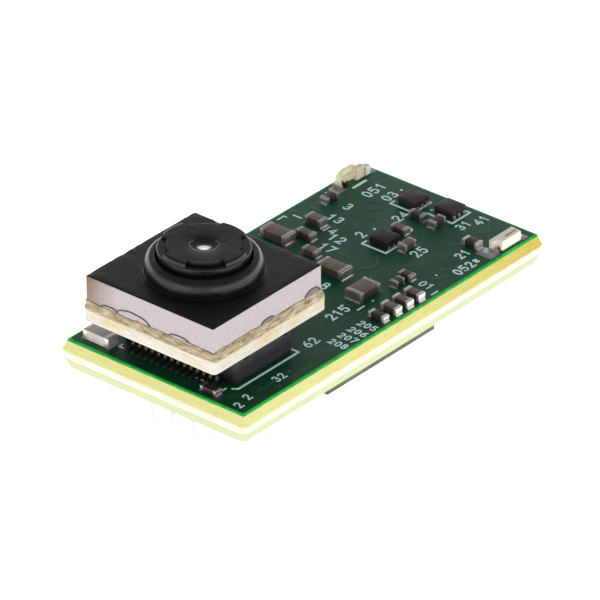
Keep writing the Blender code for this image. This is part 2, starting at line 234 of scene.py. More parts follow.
class Shape:
    """Collects closed shells into one piece."""

    def __init__(self):
        self.v, self.f, self.m = [], [], []

    def add(self, vfm, mat=None, shift=(0, 0, 0)):
        v, f, m = vfm
        k = len(self.v)
        self.v += [(p[0] + shift[0], p[1] + shift[1], p[2] + shift[2]) for p in v]
        self.f += [tuple(i + k for i in q) for q in f]
        self.m += [mat] * len(f) if mat is not None else list(m)
        return self

    def make(self, name, mats, body, replaces=(), sharp=38, smooth=True):
        me = bpy.data.meshes.new(name)
        me.from_pydata([P(*p) for p in self.v], [], self.f)
        bm = bmesh.new()
        bm.from_mesh(me)
        for face, k in zip(bm.faces, self.m):
            face.material_index = k
            face.smooth = smooth
        bmesh.ops.recalc_face_normals(bm, faces=bm.faces[:])
        big = [f for f in bm.faces if len(f.verts) > 4]
        if big:
            bmesh.ops.triangulate(bm, faces=big)
        bm.to_mesh(me)
        bm.free()
        if smooth:
            me.set_sharp_from_angle(angle=math.radians(sharp))
        for mt in mats:
            me.materials.append(mt)
        ob = bpy.data.objects.new(name, me)
        bpy.context.scene.collection.objects.link(ob)
        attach(ob, body)
        if replaces:
            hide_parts(*replaces)
        return ob


# ------------------------------------------------------------------ materials
class G:
    """Small helper for building a procedural surface."""

    def __init__(self, name):
        self.mat = bpy.data.materials.new(name)
        self.mat.use_nodes = True
        self.t = self.mat.node_tree
        self.b = self.t.nodes["Principled BSDF"]
        self.co = self.t.nodes.new("ShaderNodeTexCoord").outputs["Object"]
        self._xyz = None

    def new(self, kind, **props):
        n = self.t.nodes.new(kind)
        for k, v in props.items():
            setattr(n, k, v)
        return n

    def put(self, sock, val):
        if isinstance(val, bpy.types.NodeSocket):
            self.t.links.new(val, sock)
        elif isinstance(val, (tuple, list)):
            d = list(val)
            if len(sock.default_value) == 4 and len(d) == 3:
                d.append(1.0)
            sock.default_value = d
        else:
            sock.default_value = val

    def xyz(self):
        if self._xyz is None:
            n = self.new("ShaderNodeSeparateXYZ")
            self.put(n.inputs[0], self.co)
            self._xyz = n.outputs
        return self._xyz

    def scaled(self, sx, sy, sz):
        n = self.new("ShaderNodeMapping")
        self.put(n.inputs["Vector"], self.co)
        self.put(n.inputs["Scale"], (sx, sy, sz))
        return n.outputs[0]

    def noise(self, scale, detail=3.0, rough=0.55, vec=None, dist=0.0):
        n = self.new("ShaderNodeTexNoise")
        self.put(n.inputs["Vector"], vec or self.co)
        self.put(n.inputs["Scale"], scale)
        self.put(n.inputs["Detail"], detail)
        self.put(n.inputs["Roughness"], rough)
        self.put(n.inputs["Distortion"], dist)
        return n.outputs["Fac"]

    def voro(self, scale, vec=None, feature="F1"):
        n = self.new("ShaderNodeTexVoronoi", feature=feature)
        self.put(n.inputs["Vector"], vec or self.co)
        self.put(n.inputs["Scale"], scale)
        return n.outputs["Distance"]

    def wave(self, scale, direction="X", vec=None, dist=0.0, detail=2.0):
        n = self.new("ShaderNodeTexWave", bands_direction=direction)
        self.put(n.inputs["Vector"], vec or self.co)
        self.put(n.inputs["Scale"], scale)
        self.put(n.inputs["Distortion"], dist)
        self.put(n.inputs["Detail"], detail)
        return n.outputs["Fac"]

    def math(self, op, a, b=0.0, clamp=False):
        n = self.new("ShaderNodeMath", operation=op, use_clamp=clamp)
        self.put(n.inputs[0], a)
        self.put(n.inputs[1], b)
        return n.outputs[0]

    def span(self, x, a, b, c=0.0, d=1.0):
        n = self.new("ShaderNodeMapRange", clamp=True)
        for k, v in zip(("Value", "From Min", "From Max", "To Min", "To Max"), (x, a, b, c, d)):
            self.put(n.inputs[k], v)
        return n.outputs[0]

    def ramp(self, fac, stops):
        n = self.new("ShaderNodeValToRGB")
        self.put(n.inputs[0], fac)
        cr = n.color_ramp
        while len(cr.elements) < len(stops):
            cr.elements.new(0.5)
        for e, (p, c) in zip(cr.elements, stops):
            e.position = p
            e.color = (c[0], c[1], c[2], 1.0)
        return n.outputs[0]

    def mix(self, fac, a, b, blend="MIX"):
        n = self.new("ShaderNodeMix", data_type="RGBA", blend_type=blend)
        self.put(n.inputs[0], fac)
        self.put(n.inputs[6], a)
        self.put(n.inputs[7], b)
        return n.outputs[2]

    def edge(self, radius, lo=0.02, hi=0.35):
        """1 on worn edges, 0 on flats."""
        bev = self.new("ShaderNodeBevel", samples=4)
        self.put(bev.inputs["Radius"], radius)
        geo = self.new("ShaderNodeNewGeometry")
        dot = self.new("ShaderNodeVectorMath", operation="DOT_PRODUCT")
        self.put(dot.inputs[0], bev.outputs[0])
        self.put(dot.inputs[1], geo.outputs["Normal"])
        return self.span(self.math("SUBTRACT", 1.0, dot.outputs["Value"]), lo, hi)

    def bump(self, height, strength=0.5, dist=0.00001, normal=None):
        n = self.new("ShaderNodeBump")
        self.put(n.inputs["Height"], height)
        self.put(n.inputs["Strength"], strength)
        self.put(n.inputs["Distance"], dist)
        if normal is not None:
            self.put(n.inputs["Normal"], normal)
        return n.outputs[0]

    def done(self, base, rough=0.5, metal=0.0, normal=None, spec=0.5, **extra):
        b = self.b
        self.put(b.inputs["Base Color"], base)
        self.put(b.inputs["Roughness"], rough)
        self.put(b.inputs["Metallic"], metal)
        self.put(b.inputs["Specular IOR Level"], spec)
        if normal is not None:
            self.put(b.inputs["Normal"], normal)
        for k, v in extra.items():
            self.put(b.inputs[k], v)
        return self.mat


def mat_mask(name, dark, light, edge=0.0):
    """Glossy solder mask over woven glass: faint weave, cloudy colour and soft orange peel."""
    g = G(name)
    cloud = g.noise(520, 4, 0.6)
    fine = g.noise(9000, 3, 0.6)
    wx = g.wave(2600, "X", dist=1.2)
    wy = g.wave(2600, "Y", dist=1.2)
    weave = g.math("MULTIPLY", wx, wy)
    base = g.mix(g.span(cloud, 0.30, 0.72), dark, light)
    base = g.mix(g.math("MULTIPLY", weave, 0.22), base, tuple(min(1, c * 1.7) for c in light))
    base = g.mix(g.span(fine, 0.62, 0.80, 0, 0.25), base, tuple(c * 0.45 for c in dark))
    rough = g.span(g.noise(1500, 4), 0.3, 0.7, 0.26, 0.42)
    h = g.math("ADD", g.math("MULTIPLY", weave, 0.5), g.math("MULTIPLY", g.noise(5200, 2), 0.8))
    return g.done(base, rough, 0.0, g.bump(h, 0.35, 0.000006), 0.45)


def mat_laminate(name, stops, streak=0.9, rough=0.62):
    """Broken or sawn glass-epoxy edge: streaks run along the layers, with open fibre ends."""
    g = G(name)
    v = g.scaled(1.0, 1.0, 14.0)
    lay = g.noise(1500, 5, 0.65, v, 0.3)
    fib = g.noise(9500, 3, 0.6, g.scaled(1.0, 1.0, 3.2))
    fac = g.math("ADD", g.math("MULTIPLY", lay, streak), g.math("MULTIPLY", fib, 1.0 - streak))
    base = g.ramp(g.span(fac, 0.30, 0.72), stops)
    pits = g.voro(7000, g.scaled(1.0, 1.0, 1.8))
    base = g.mix(g.span(pits, 0.0, 0.16, 0.35, 0.0), base, tuple(c * 0.45 for c in stops[0][1]))
    h = g.math("ADD", g.math("MULTIPLY", fac, 1.2), g.math("MULTIPLY", pits, 0.5))
    return g.done(base, g.span(fib, 0.3, 0.7, rough - 0.1, rough + 0.15), 0.0, g.bump(h, 0.7, 0.00003), 0.3)


def mat_plastic(name, base, worn, rough=0.45, grain=16000, grain_h=0.000004, spec=0.35, edge_r=0.00003, wear=0.5,
                cloud=900):
    """Moulded plastic: fine grain, faint cloudiness, slightly paler rubbed edges."""
    g = G(name)
    big = g.noise(cloud, 4, 0.6)
    fine = g.noise(grain, 3, 0.6)
    col = g.mix(g.span(big, 0.3, 0.75), tuple(c * 0.8 for c in base), tuple(min(1, c * 1.3) for c in base))
    col = g.mix(g.span(fine, 0.66, 0.82, 0, 0.35), col, worn)
    col = g.mix(g.math("MULTIPLY", g.edge(edge_r), g.span(g.noise(2500, 3), 0.35, 0.65, wear * 0.3, wear)), col, worn)
    r = g.span(g.noise(2200, 4), 0.3, 0.7, rough - 0.07, rough + 0.1)
    return g.done(col, r, 0.0, g.bump(fine, 0.5, grain_h), spec)


def mat_metal(name, base, tarnish, rough=0.3, metal=1.0, grain=9000, bump=0.000008, amount=0.5):
    """Tinned or plated metal: dull patches, soft flow texture, small pits."""
    g = G(name)
    big = g.noise(2600, 4, 0.65)
    fine = g.noise(grain, 4, 0.65)
    col = g.mix(g.span(big, 0.38, 0.72, 0, amount), base, tarnish)
    r = g.span(fine, 0.3, 0.7, rough - 0.1, rough + 0.14)
    h = g.math("ADD", fine, g.math("MULTIPLY", g.noise(3800, 2), 1.2))
    return g.done(col, r, metal, g.bump(h, 0.5, bump), 0.5)


def mat_ceramic(name, base, light, rough=0.42):
    """Sintered ceramic chip body: fine speckle and faint electrode layering."""
    g = G(name)
    sp = g.noise(14000, 3, 0.7)
    big = g.noise(1800, 3)
    col = g.mix(g.span(big, 0.3, 0.7), base, light)
    col = g.mix(g.span(sp, 0.6, 0.8, 0, 0.5), col, tuple(c * 0.55 for c in base))
    col = g.mix(g.math("MULTIPLY", g.edge(0.00003), 0.5), col, tuple(min(1, c * 1.7) for c in light))
    lay = g.wave(9000, "Z", dist=0.6)
    h = g.math("ADD", sp, g.math("MULTIPLY", lay, 0.15))
    return g.done(col, g.span(sp, 0.3, 0.7, rough - 0.06, rough + 0.12), 0.0, g.bump(h, 0.5, 0.000006), 0.4)


# --- the board's own surfaces
def mask_top():
    g = G("solder_mask_top")
    x, y, z = g.xyz()
    cloud = g.noise(420, 4, 0.6)
    fine = g.noise(9000, 3, 0.6)
    wx = g.wave(2600, "X", dist=1.4)
    wy = g.wave(2600, "Y", dist=1.4)
    weave = g.math("MULTIPLY", wx, wy)
    # painted light: the mask is painted darker on the near side, where the module shades it, and paler towards the far
    # end, a painted haze of reflected light
    far = g.span(g.math("ADD", g.math("SUBTRACT", y, g.math("MULTIPLY", x, 0.55)), g.math("MULTIPLY", cloud, 0.004)),
                 BY - 0.006, BY + 0.0135)
    near = g.mix(g.span(cloud, 0.3, 0.7), (0.0020, 0.062, 0.016), (0.006, 0.092, 0.028))
    back = g.mix(g.span(cloud, 0.3, 0.7), (0.004, 0.094, 0.040), (0.013, 0.125, 0.062))
    base = g.mix(far, near, back)
    base = g.mix(g.math("MULTIPLY", weave, 0.16), base, (0.05, 0.20, 0.12))
    base = g.mix(g.span(fine, 0.64, 0.82, 0, 0.4), base, (0.004, 0.035, 0.016))
    rough = g.span(g.noise(1500, 4), 0.3, 0.7, 0.27, 0.42)
    h = g.math("ADD", g.math("MULTIPLY", weave, 0.5), g.math("MULTIPLY", g.noise(5200, 2), 0.8))
    return g.done(base, rough, 0.0, g.bump(h, 0.35, 0.000006), 0.30)


M = {}
M["mask"] = mask_top()
M["trace"] = mat_mask("solder_mask_over_copper", (0.010, 0.085, 0.045), (0.028, 0.135, 0.085))
M["mask_low"] = mat_mask("solder_mask_bottom", (0.006, 0.075, 0.028), (0.016, 0.12, 0.055))
# the mask's top rim is painted bright green and glows: a painted highlight along the board's edge
g = G("mask_edge_painted_highlight")
M["mask_edge"] = g.done(g.mix(g.span(g.noise(3000, 4), 0.35, 0.7), (0.004, 0.34, 0.035), (0.04, 0.62, 0.10)),
                        g.span(g.noise(6000, 3), 0.3, 0.7, 0.3, 0.55), 0.0, g.bump(g.noise(9000, 3), 0.5, 0.00001), 0.4,
                        **{"Emission Color": (0.02, 0.60, 0.08, 1.0), "Emission Strength": 0.14})
def edge_slope(name, ramp_near, ramp_far, seed=0.0):
    """Scored slope of the board's edge: resin streaks along the cut, deeper in colour towards the far end."""
    g = G(name)
    lay = g.noise(1150, 5, 0.68, g.scaled(1.0, 1.0, 10.0), 0.5)
    fib = g.noise(8200, 3, 0.6, g.scaled(1.0, 1.0, 3.2))
    big = g.noise(310, 3, 0.6)
    fac = g.math("ADD", g.math("MULTIPLY", lay, 0.62), g.math("ADD", g.math("MULTIPLY", fib, 0.20),
                                                              g.math("MULTIPLY", big, 0.18)))
    f = g.span(fac, 0.34, 0.66)
    x, y, z = g.xyz()
    far = g.span(g.math("ADD", y, g.math("MULTIPLY", x, 0.5)), BY + 0.002, BY + 0.015)
    base = g.mix(far, g.ramp(f, ramp_near), g.ramp(f, ramp_far))
    pits = g.voro(6500, g.scaled(1.0, 1.0, 1.8))
    base = g.mix(g.span(pits, 0.0, 0.14, 0.35, 0.0), base, (0.42, 0.30, 0.10))
    h = g.math("ADD", g.math("MULTIPLY", fac, 1.3), g.math("MULTIPLY", pits, 0.5))
    return g.done(base, g.span(fib, 0.3, 0.7, 0.5, 0.75), 0.0, g.bump(h, 0.7, 0.00003), 0.3)


M["edge_top"] = edge_slope("laminate_upper_slope",
                           [(0.0, (0.90, 0.62, 0.20)), (0.28, (0.90, 0.76, 0.27)), (0.52, (0.88, 0.84, 0.34)),
                            (0.76, (0.80, 0.86, 0.36)), (1.0, (0.94, 0.92, 0.66))],
                           [(0.0, (0.72, 0.44, 0.05)), (0.30, (0.74, 0.56, 0.07)), (0.55, (0.74, 0.62, 0.10)),
                            (0.80, (0.66, 0.66, 0.14)), (1.0, (0.86, 0.78, 0.34))])
M["edge_web"] = mat_laminate("laminate_broken_web", [(0.0, (0.72, 0.66, 0.46)), (0.35, (0.84, 0.82, 0.70)),
                                                    (1.0, (0.92, 0.91, 0.88))], 0.6, 0.7)
M["edge_low"] = edge_slope("laminate_lower_slope",
                           [(0.0, (0.66, 0.54, 0.26)), (0.28, (0.64, 0.62, 0.34)), (0.55, (0.58, 0.62, 0.36)),
                            (0.78, (0.52, 0.60, 0.36)), (1.0, (0.72, 0.72, 0.60))],
                           [(0.0, (0.60, 0.56, 0.30)), (0.30, (0.58, 0.62, 0.38)), (0.55, (0.53, 0.62, 0.38)),
                            (0.80, (0.56, 0.64, 0.44)), (1.0, (0.74, 0.76, 0.66))])
# silkscreen ink; its faint glow is painted light
g = G("silkscreen_ink")
M["silk"] = g.done(g.mix(g.span(g.noise(9000, 4), 0.36, 0.6), (0.58, 0.80, 0.80), (0.86, 1.0, 1.0)),
                   g.span(g.noise(5000, 3), 0.3, 0.7, 0.45, 0.65), 0.0, g.bump(g.noise(12000, 3), 0.4, 0.000005), 0.35,
                   **{"Emission Color": (0.45, 0.78, 0.80, 1.0), "Emission Strength": 0.16})
M["via"] = mat_mask("tented_hole", (0.004, 0.035, 0.018), (0.010, 0.060, 0.035))
M["solder"] = mat_metal("solder", (0.52, 0.48, 0.47), (0.34, 0.30, 0.29), 0.30, 1.0, 9000, 0.000010)
M["pad"] = mat_metal("bare_pad", (0.44, 0.41, 0.45), (0.30, 0.27, 0.29), 0.36, 1.0, 12000, 0.000006)
M["pad_dark"] = mat_metal("solder_rim", (0.20, 0.18, 0.18), (0.10, 0.09, 0.09), 0.40, 0.9, 12000, 0.000006)
M["tin"] = mat_metal("tinned_end", (0.50, 0.45, 0.44), (0.30, 0.25, 0.24), 0.34, 0.85, 11000, 0.000006)
# brighter copy of the tinned ends: painted highlight for ends and fillets that catch strong light
M["tin_bright"] = mat_metal("tinned_end_painted_highlight", (0.86, 0.82, 0.80), (0.66, 0.58, 0.55), 0.34, 0.75, 11000, 0.000006)
# dark, dull metal: painted shade on leads and small terminals that sit in shadow, most of them under the module
M["tail"] = mat_metal("connector_tail_painted_shade", (0.115, 0.095, 0.070), (0.050, 0.040, 0.030), 0.42, 0.8, 11000, 0.000005)
M["mlcc"] = mat_ceramic("capacitor_ceramic", (0.155, 0.112, 0.082), (0.225, 0.172, 0.132))
# darker copy of the capacitor ceramic for chip flanks: painted shade
M["mlcc_painted_shade"] = mat_ceramic("capacitor_ceramic_painted_shade", (0.050, 0.040, 0.028), (0.085, 0.068, 0.052))
# pale ceramic for the cornermost part; on its front flank the paleness is painted light
M["mlcc_pale"] = mat_ceramic("capacitor_ceramic_pale", (0.62, 0.54, 0.51), (0.80, 0.72, 0.68))
M["res"] = mat_ceramic("resistor_glaze", (0.034, 0.020, 0.018), (0.062, 0.042, 0.038), 0.36)
M["conn"] = mat_plastic("connector_plastic", (0.024, 0.020, 0.028), (0.085, 0.075, 0.09), 0.34, 15000, 0.000004, 0.55)
# near-black plastic for recesses and gaps: painted shade
M["notch"] = mat_plastic("recess_painted_shade", (0.004, 0.0035, 0.004), (0.01, 0.01, 0.01), 0.6, 15000, 0.000003, 0.15)
M["holder"] = mat_plastic("holder_top_black", (0.0050, 0.0042, 0.0046), (0.022, 0.018, 0.016), 0.46, 22000, 0.000003,
                          0.30, 0.00004, 0.3)
M["collar"] = mat_plastic("holder_collar_black", (0.0042, 0.0034, 0.0040), (0.012, 0.010, 0.010), 0.26, 22000, 0.0000008,
                          0.45, 0.00004, 0.2)
M["barrel"] = mat_plastic("barrel_black", (0.0050, 0.0044, 0.0058), (0.013, 0.011, 0.014), 0.24, 24000, 0.0000006,
                          0.42, 0.00003, 0.3)


def holder_edge():
    """Chipped edge: the paint is rubbed through to a tan core along the rim."""
    g = G("holder_chipped_edge")
    n = g.noise(2600, 4, 0.65)
    f = g.noise(12000, 3, 0.6)
    mask = g.span(g.math("ADD", n, g.math("MULTIPLY", f, 0.25)), 0.52, 0.66)
    base = g.mix(mask, (0.030, 0.020, 0.014), (0.36, 0.25, 0.14))
    base = g.mix(g.span(f, 0.62, 0.75, 0, 0.6), base, (0.60, 0.48, 0.34))
    return g.done(base, g.span(f, 0.3, 0.7, 0.45, 0.65), 0.0, g.bump(g.math("ADD", n, f), 0.6, 0.000012), 0.3)


M["holder_edge"] = holder_edge()


def holder_side():
    """Pale flank of the black holder, painted light, with very fine vertical saw marks, browner towards one corner."""
    g = G("holder_side_painted_light")
    x, y, z = g.xyz()
    fine = g.noise(13000, 4, 0.65, g.scaled(1.0, 1.0, 0.45))
    blot = g.noise(900, 4, 0.6)
    base = g.mix(g.span(fine, 0.34, 0.68), (0.470, 0.410, 0.415), (0.630, 0.568, 0.575))
    base = g.mix(g.span(blot, 0.40, 0.72, 0, 0.35), base, (0.54, 0.475, 0.48))
    corner = g.span(g.math("ADD", x, g.math("MULTIPLY", blot, 0.0008)), BX - 0.0037, BX - 0.0016, 1.0, 0.0)
    corner = g.math("MULTIPLY", corner, g.span(z, BZ + 0.0027, BZ + 0.0040, 0.75, 1.0))
    base = g.mix(corner, base, g.mix(g.span(fine, 0.34, 0.68), (0.15, 0.080, 0.036), (0.30, 0.19, 0.105)))
    spot = g.span(g.voro(2600), 0.0, 0.10, 0.6, 0.0)
    base = g.mix(g.math("MULTIPLY", spot, g.span(g.noise(700, 2), 0.55, 0.62)), base, (0.85, 0.80, 0.74))
    return g.done(base, g.span(fine, 0.3, 0.7, 0.5, 0.75), 0.0, g.bump(fine, 0.6, 0.000012), 0.3)


M["holder_side"] = holder_side()
def module_edge():
    """Routed glass-epoxy edge: pale fibre streaks, yellow resin patches and dark frayed threads."""
    g = G("module_board_edge")
    lay = g.noise(1300, 5, 0.65, g.scaled(1.0, 1.0, 12.0), 0.4)
    fib = g.noise(8000, 3, 0.65, g.scaled(1.0, 1.0, 4.0))
    patch = g.noise(520, 4, 0.6)
    base = g.ramp(g.span(g.math("ADD", g.math("MULTIPLY", lay, 0.6), g.math("MULTIPLY", fib, 0.4)), 0.32, 0.68),
                  [(0.0, (0.26, 0.19, 0.10)), (0.16, (0.54, 0.44, 0.27)), (0.38, (0.76, 0.71, 0.57)),
                   (1.0, (0.93, 0.91, 0.85))])
    base = g.mix(g.span(patch, 0.50, 0.66, 0, 0.62), base, (0.76, 0.58, 0.24))
    thr = g.span(g.noise(2600, 4, 0.7, g.scaled(1.0, 1.0, 9.0), 0.6), 0.62, 0.72, 0, 0.7)
    base = g.mix(thr, base, (0.26, 0.19, 0.12))
    x, y, z = g.xyz()
    low = g.span(z, BZ + 0.00170, BZ + 0.00205, 0.55, 0.0)
    base = g.mix(low, base, (0.86, 0.84, 0.78))
    h = g.math("ADD", g.math("MULTIPLY", lay, 1.2), fib)
    return g.done(base, g.span(fib, 0.3, 0.7, 0.5, 0.72), 0.0, g.bump(h, 0.7, 0.00003), 0.3)


M["module"] = module_edge()
M["module_face"] = mat_mask("module_board_mask", (0.012, 0.012, 0.012), (0.03, 0.03, 0.028))


def glue():
    g = G("adhesive")
    lay = g.noise(1700, 5, 0.65, g.scaled(1.0, 1.0, 5.0), 0.4)
    lump = g.noise(3600, 3, 0.6)
    base = g.ramp(g.span(lay, 0.30, 0.72), [(0.0, (0.13, 0.085, 0.045)), (0.30, (0.34, 0.25, 0.14)),
                                            (0.60, (0.56, 0.46, 0.27)), (1.0, (0.74, 0.68, 0.52))])
    base = g.mix(g.span(lump, 0.58, 0.75, 0, 0.5), base, (0.66, 0.60, 0.46))
    return g.done(base, g.span(lump, 0.3, 0.7, 0.30, 0.55), 0.0,
                  g.bump(g.math("ADD", lay, lump), 0.7, 0.00003), 0.45)


M["glue"] = glue()
M["glue_grey"] = mat_plastic("adhesive_grey_drop", (0.20, 0.155, 0.155), (0.34, 0.29, 0.29), 0.35, 9000, 0.00001, 0.45)
M["glue_dark"] = mat_plastic("adhesive_dark_lip", (0.050, 0.038, 0.036), (0.13, 0.105, 0.10), 0.35, 9000, 0.00001, 0.45)
M["chipic_dark"] = mat_plastic("chip_package_dark", (0.018, 0.010, 0.010), (0.055, 0.038, 0.036), 0.46, 15000, 0.000004, 0.28)
M["chipic"] = mat_plastic("chip_package", (0.040, 0.022, 0.020), (0.10, 0.070, 0.064), 0.42, 15000, 0.000004, 0.4)
M["proc"] = mat_plastic("processor_package", (0.105, 0.108, 0.070), (0.19, 0.19, 0.14), 0.5, 13000, 0.000004, 0.35)
M["header"] = mat_plastic("header_plastic", (0.02, 0.02, 0.02), (0.07, 0.07, 0.07), 0.5, 13000, 0.000005, 0.35)
M["pin"] = mat_metal("plated_pin", (0.80, 0.795, 0.79), (0.70, 0.69, 0.68), 0.28, 1.0, 7000, 0.000004, 0.6)
M["ring"] = mat_plastic("retaining_ring", (0.012, 0.012, 0.012), (0.05, 0.05, 0.05), 0.45, 16000, 0.000004, 0.3)
g = G("sensor_die")
M["die"] = g.done(g.mix(g.span(g.wave(9000, "X", dist=0.0), 0.4, 0.6), (0.06, 0.05, 0.09), (0.10, 0.09, 0.13)),
                  g.span(g.noise(3000, 3), 0.3, 0.7, 0.12, 0.25), 0.3, g.bump(g.wave(9000, "Y"), 0.2, 0.000002), 0.5)


def glass(name, tint, rough=0.04, coat=(0.9, 0.95, 1.0), mirror=0.0):
    g = G(name)
    n = g.noise(1200, 3)
    dust = g.noise(20000, 4, 0.7)
    col = g.mix(g.span(n, 0.35, 0.7, 0, 0.3), tint, tuple(c * 0.9 for c in tint))
    return g.done(col, g.span(dust, 0.5, 0.8, rough, rough + 0.12), mirror, g.bump(dust, 0.08, 0.000001), 0.6,
                  **{"Coat Weight": 0.6, "Coat Roughness": 0.03, "Coat Tint": coat,
                     "Transmission Weight": 0.0 if mirror else 0.55})


# the front element is a white mirror that also glows: a painted highlight where the lens would reflect a light
M["lens"] = glass("front_lens_painted_highlight", (0.96, 0.98, 1.0), 0.05, mirror=1.0)
_n = M["lens"].node_tree.nodes["Principled BSDF"]
_n.inputs["Emission Color"].default_value = (0.96, 0.98, 1.0, 1.0)
_n.inputs["Emission Strength"].default_value = 0.75
M["lens_in"] = glass("rear_lens_glass", (0.75, 0.86, 0.90))
M["filter"] = glass("infrared_filter_glass", (0.55, 0.80, 0.84))


def lamp_mats():
    # the resin, cream and peach lamp parts glow faintly though no lamp is lit: painted light
    g = G("lamp_resin_clear")
    n = g.noise(1500, 4, 0.6)
    a = g.done(g.mix(g.span(n, 0.3, 0.7), (0.66, 0.70, 0.44), (0.84, 0.84, 0.60)),
               g.span(g.noise(5000, 3), 0.3, 0.7, 0.12, 0.28), 0.0, g.bump(n, 0.3, 0.00001), 0.55,
               **{"Emission Color": (0.62, 0.68, 0.42, 1.0), "Emission Strength": 0.30, "Transmission Weight": 0.15, "Subsurface Weight": 0.3,
                  "Subsurface Radius": (0.0006, 0.0006, 0.0003)})
    g = G("lamp_body_cream")
    n = g.noise(2200, 4, 0.6)
    b = g.done(g.mix(g.span(n, 0.3, 0.7), (0.80, 0.76, 0.64), (0.90, 0.88, 0.80)),
               g.span(g.noise(6000, 3), 0.3, 0.7, 0.32, 0.5), 0.0, g.bump(g.noise(9000, 3), 0.4, 0.000008), 0.45,
               **{"Emission Color": (0.90, 0.86, 0.74, 1.0), "Emission Strength": 0.14})
    g = G("lamp_body_peach")
    n = g.noise(2600, 4, 0.6)
    c = g.done(g.mix(g.span(n, 0.3, 0.7), (0.62, 0.52, 0.38), (0.80, 0.72, 0.56)),
               g.span(g.noise(6000, 3), 0.3, 0.7, 0.36, 0.55), 0.0, g.bump(g.noise(9000, 3), 0.4, 0.000008), 0.4,
               **{"Emission Color": (0.75, 0.64, 0.48, 1.0), "Emission Strength": 0.20})
    g = G("lamp_phosphor")
    n = g.noise(7000, 4, 0.6)
    d = g.done(g.mix(g.span(n, 0.3, 0.7), (0.42, 0.32, 0.06), (0.62, 0.50, 0.14)),
               g.span(n, 0.3, 0.7, 0.3, 0.5), 0.0, g.bump(n, 0.5, 0.00001), 0.5)
    g = G("lamp_terminal_gold")
    n = g.noise(7000, 4, 0.6)
    e = g.done(g.mix(g.span(n, 0.3, 0.7), (0.80, 0.55, 0.22), (0.90, 0.70, 0.36)),
               g.span(n, 0.3, 0.7, 0.2, 0.4), 1.0, g.bump(n, 0.4, 0.000008), 0.5)
    return a, b, c, d, e


M["lamp_clear"], M["lamp_cream"], M["lamp_peach"], M["phosphor"], M["gold"] = lamp_mats()

# ------------------------------------------------------------------ main board
x0, x1, y0, y1, z0, z1 = nb("main_board")
HX, HY = (x1 - x0) / 2 - SCORE, (y1 - y0) / 2 - SCORE
CYB = (y0 + y1) / 2
T = z1 - z0 + 0.12
rows = [(0.0, -0.130, 1), (-0.002, -0.070, 1), (-0.014, -0.022, 1), (-0.040, 0.000, 1), (-0.085, 0.020, 2)]
for k in range(1, 8):
    t = k / 7
    rows.append((-0.085 - (0.56 - 0.085) * t, 0.020 + (SCORE - 0.020) * t, 2 if k < 7 else 3))
for k in range(1, 6):
    rows.append((-0.56 - 0.36 * k / 5, SCORE, 3 if k < 5 else 4))
for k in range(1, 8):
    t = k / 7
    rows.append((-0.92 - (T - 0.92 - 0.075) * t, SCORE - (SCORE - 0.012) * t, 4))
rows += [(-T + 0.034, 0.0, 4), (-T + 0.014, -0.012, 4), (-T + 0.003, -0.034, 5), (-T, -0.060, 5)]
secs = []
for z, out, _ in rows:
    s = rr(0, CYB, HX + out, HY + out, 0.13 + 0.20 * min(1.0, max(0.0, (-z - 0.08) / 0.45)), z, 6, (64, 130))
    if -T + 0.05 < z < -0.05:
        web = 1.0 if -0.86 < z < -0.54 else 0.45
        q = []
        for x, y, zz in s:
            L = math.hypot(x / HX, y / HY)
            d = 0.020 * web * (nz(x, y, zz * 3, 3.1) + 0.6 * nz(x, y, zz * 5, 8.3, 4.0))
            if web == 1.0:
                d += 0.012 * nz(x, y, zz, 19.0, 9.0)
            nx = (1 if x > 0 else -1) if abs(x) > HX - 0.02 else 0
            ny = (1 if y > CYB else -1) if abs(y - CYB) > HY - 0.02 else 0
            q.append((x + nx * d, y + ny * d, zz + 0.010 * nz(x, y, zz, 2.0, 2.0)))
        s = q
    secs.append(s)
sh = Shape()
sh.add(loft(secs, rows=[r[2] for r in rows], cap_m=(0, 5)))
sh.make("board_body", [M["mask"], M["mask_edge"], M["edge_top"], M["edge_web"], M["edge_low"], M["mask_low"]], "board",
        ("main_board",), sharp=50)

# ------------------------------------------------------------------ copper under the mask
def path(*pts):
    """Polyline with its corners eased."""
    out = [pts[0]]
    for a, b, c in zip(pts[:-2], pts[1:-1], pts[2:]):
        r = min(0.18, math.dist(a, b) * 0.4, math.dist(b, c) * 0.4)
        p = (b[0] + (a[0] - b[0]) / math.dist(a, b) * r, b[1] + (a[1] - b[1]) / math.dist(a, b) * r)
        q = (b[0] + (c[0] - b[0]) / math.dist(b, c) * r, b[1] + (c[1] - b[1]) / math.dist(b, c) * r)
        for t in (0.0, 0.33, 0.67, 1.0):
            out.append(((1 - t) ** 2 * p[0] + 2 * t * (1 - t) * b[0] + t * t * q[0],
                        (1 - t) ** 2 * p[1] + 2 * t * (1 - t) * b[1] + t * t * q[1]))
    out.append(pts[-1])
    return out


cu = Shape()
TR_H = 0.006
_cu_n = [0]


def line(pts, w):
    _cu_n[0] += 1
    cu.add(ribbon(pts, w, 0, 0.0050 + 0.00012 * _cu_n[0]))

TR_W = 0.10
# lines that fan out from the connector's rear row towards the middle of the board
for i in range(10):
    x = -2.4 + 0.40 * i
    fan = -2.2 + 0.27 * i
    line(path((x, -4.25), (x, -3.55 + 0.05 * i), (fan + 0.9, -2.35 + 0.06 * i), (fan + 0.9, -1.2 + 0.16 * i)), TR_W)
# nested bends beside the connector
for k in range(6):
    r = 0.34 + 0.20 * k
    line(arc(4.85, -4.30, r, r * 1.15, 100, 215, 16), 0.085)
line(path((4.95, -5.4), (4.95, -7.0), (4.60, -7.4), (4.60, -8.9)), 0.1)
# runs along the length of the board
for k in range(4):
    o = 0.20 * k
    line(path((-5.05 + o, -3.0), (-5.05 + o, 1.2 - o)), 0.09)
for k in range(4):
    o = 0.19 * k
    line(path((1.75 + o, 3.3), (1.75 + o, 4.0 + 0.15 * k), (2.45 + o, 4.7 + 0.15 * k), (2.45 + o, 5.9 + 0.2 * k)), 0.085)
for k in range(4):
    o = 0.19 * k
    line(path((-2.40 - o, 5.7), (-2.40 - o, 6.7 - 0.1 * k)), 0.085)
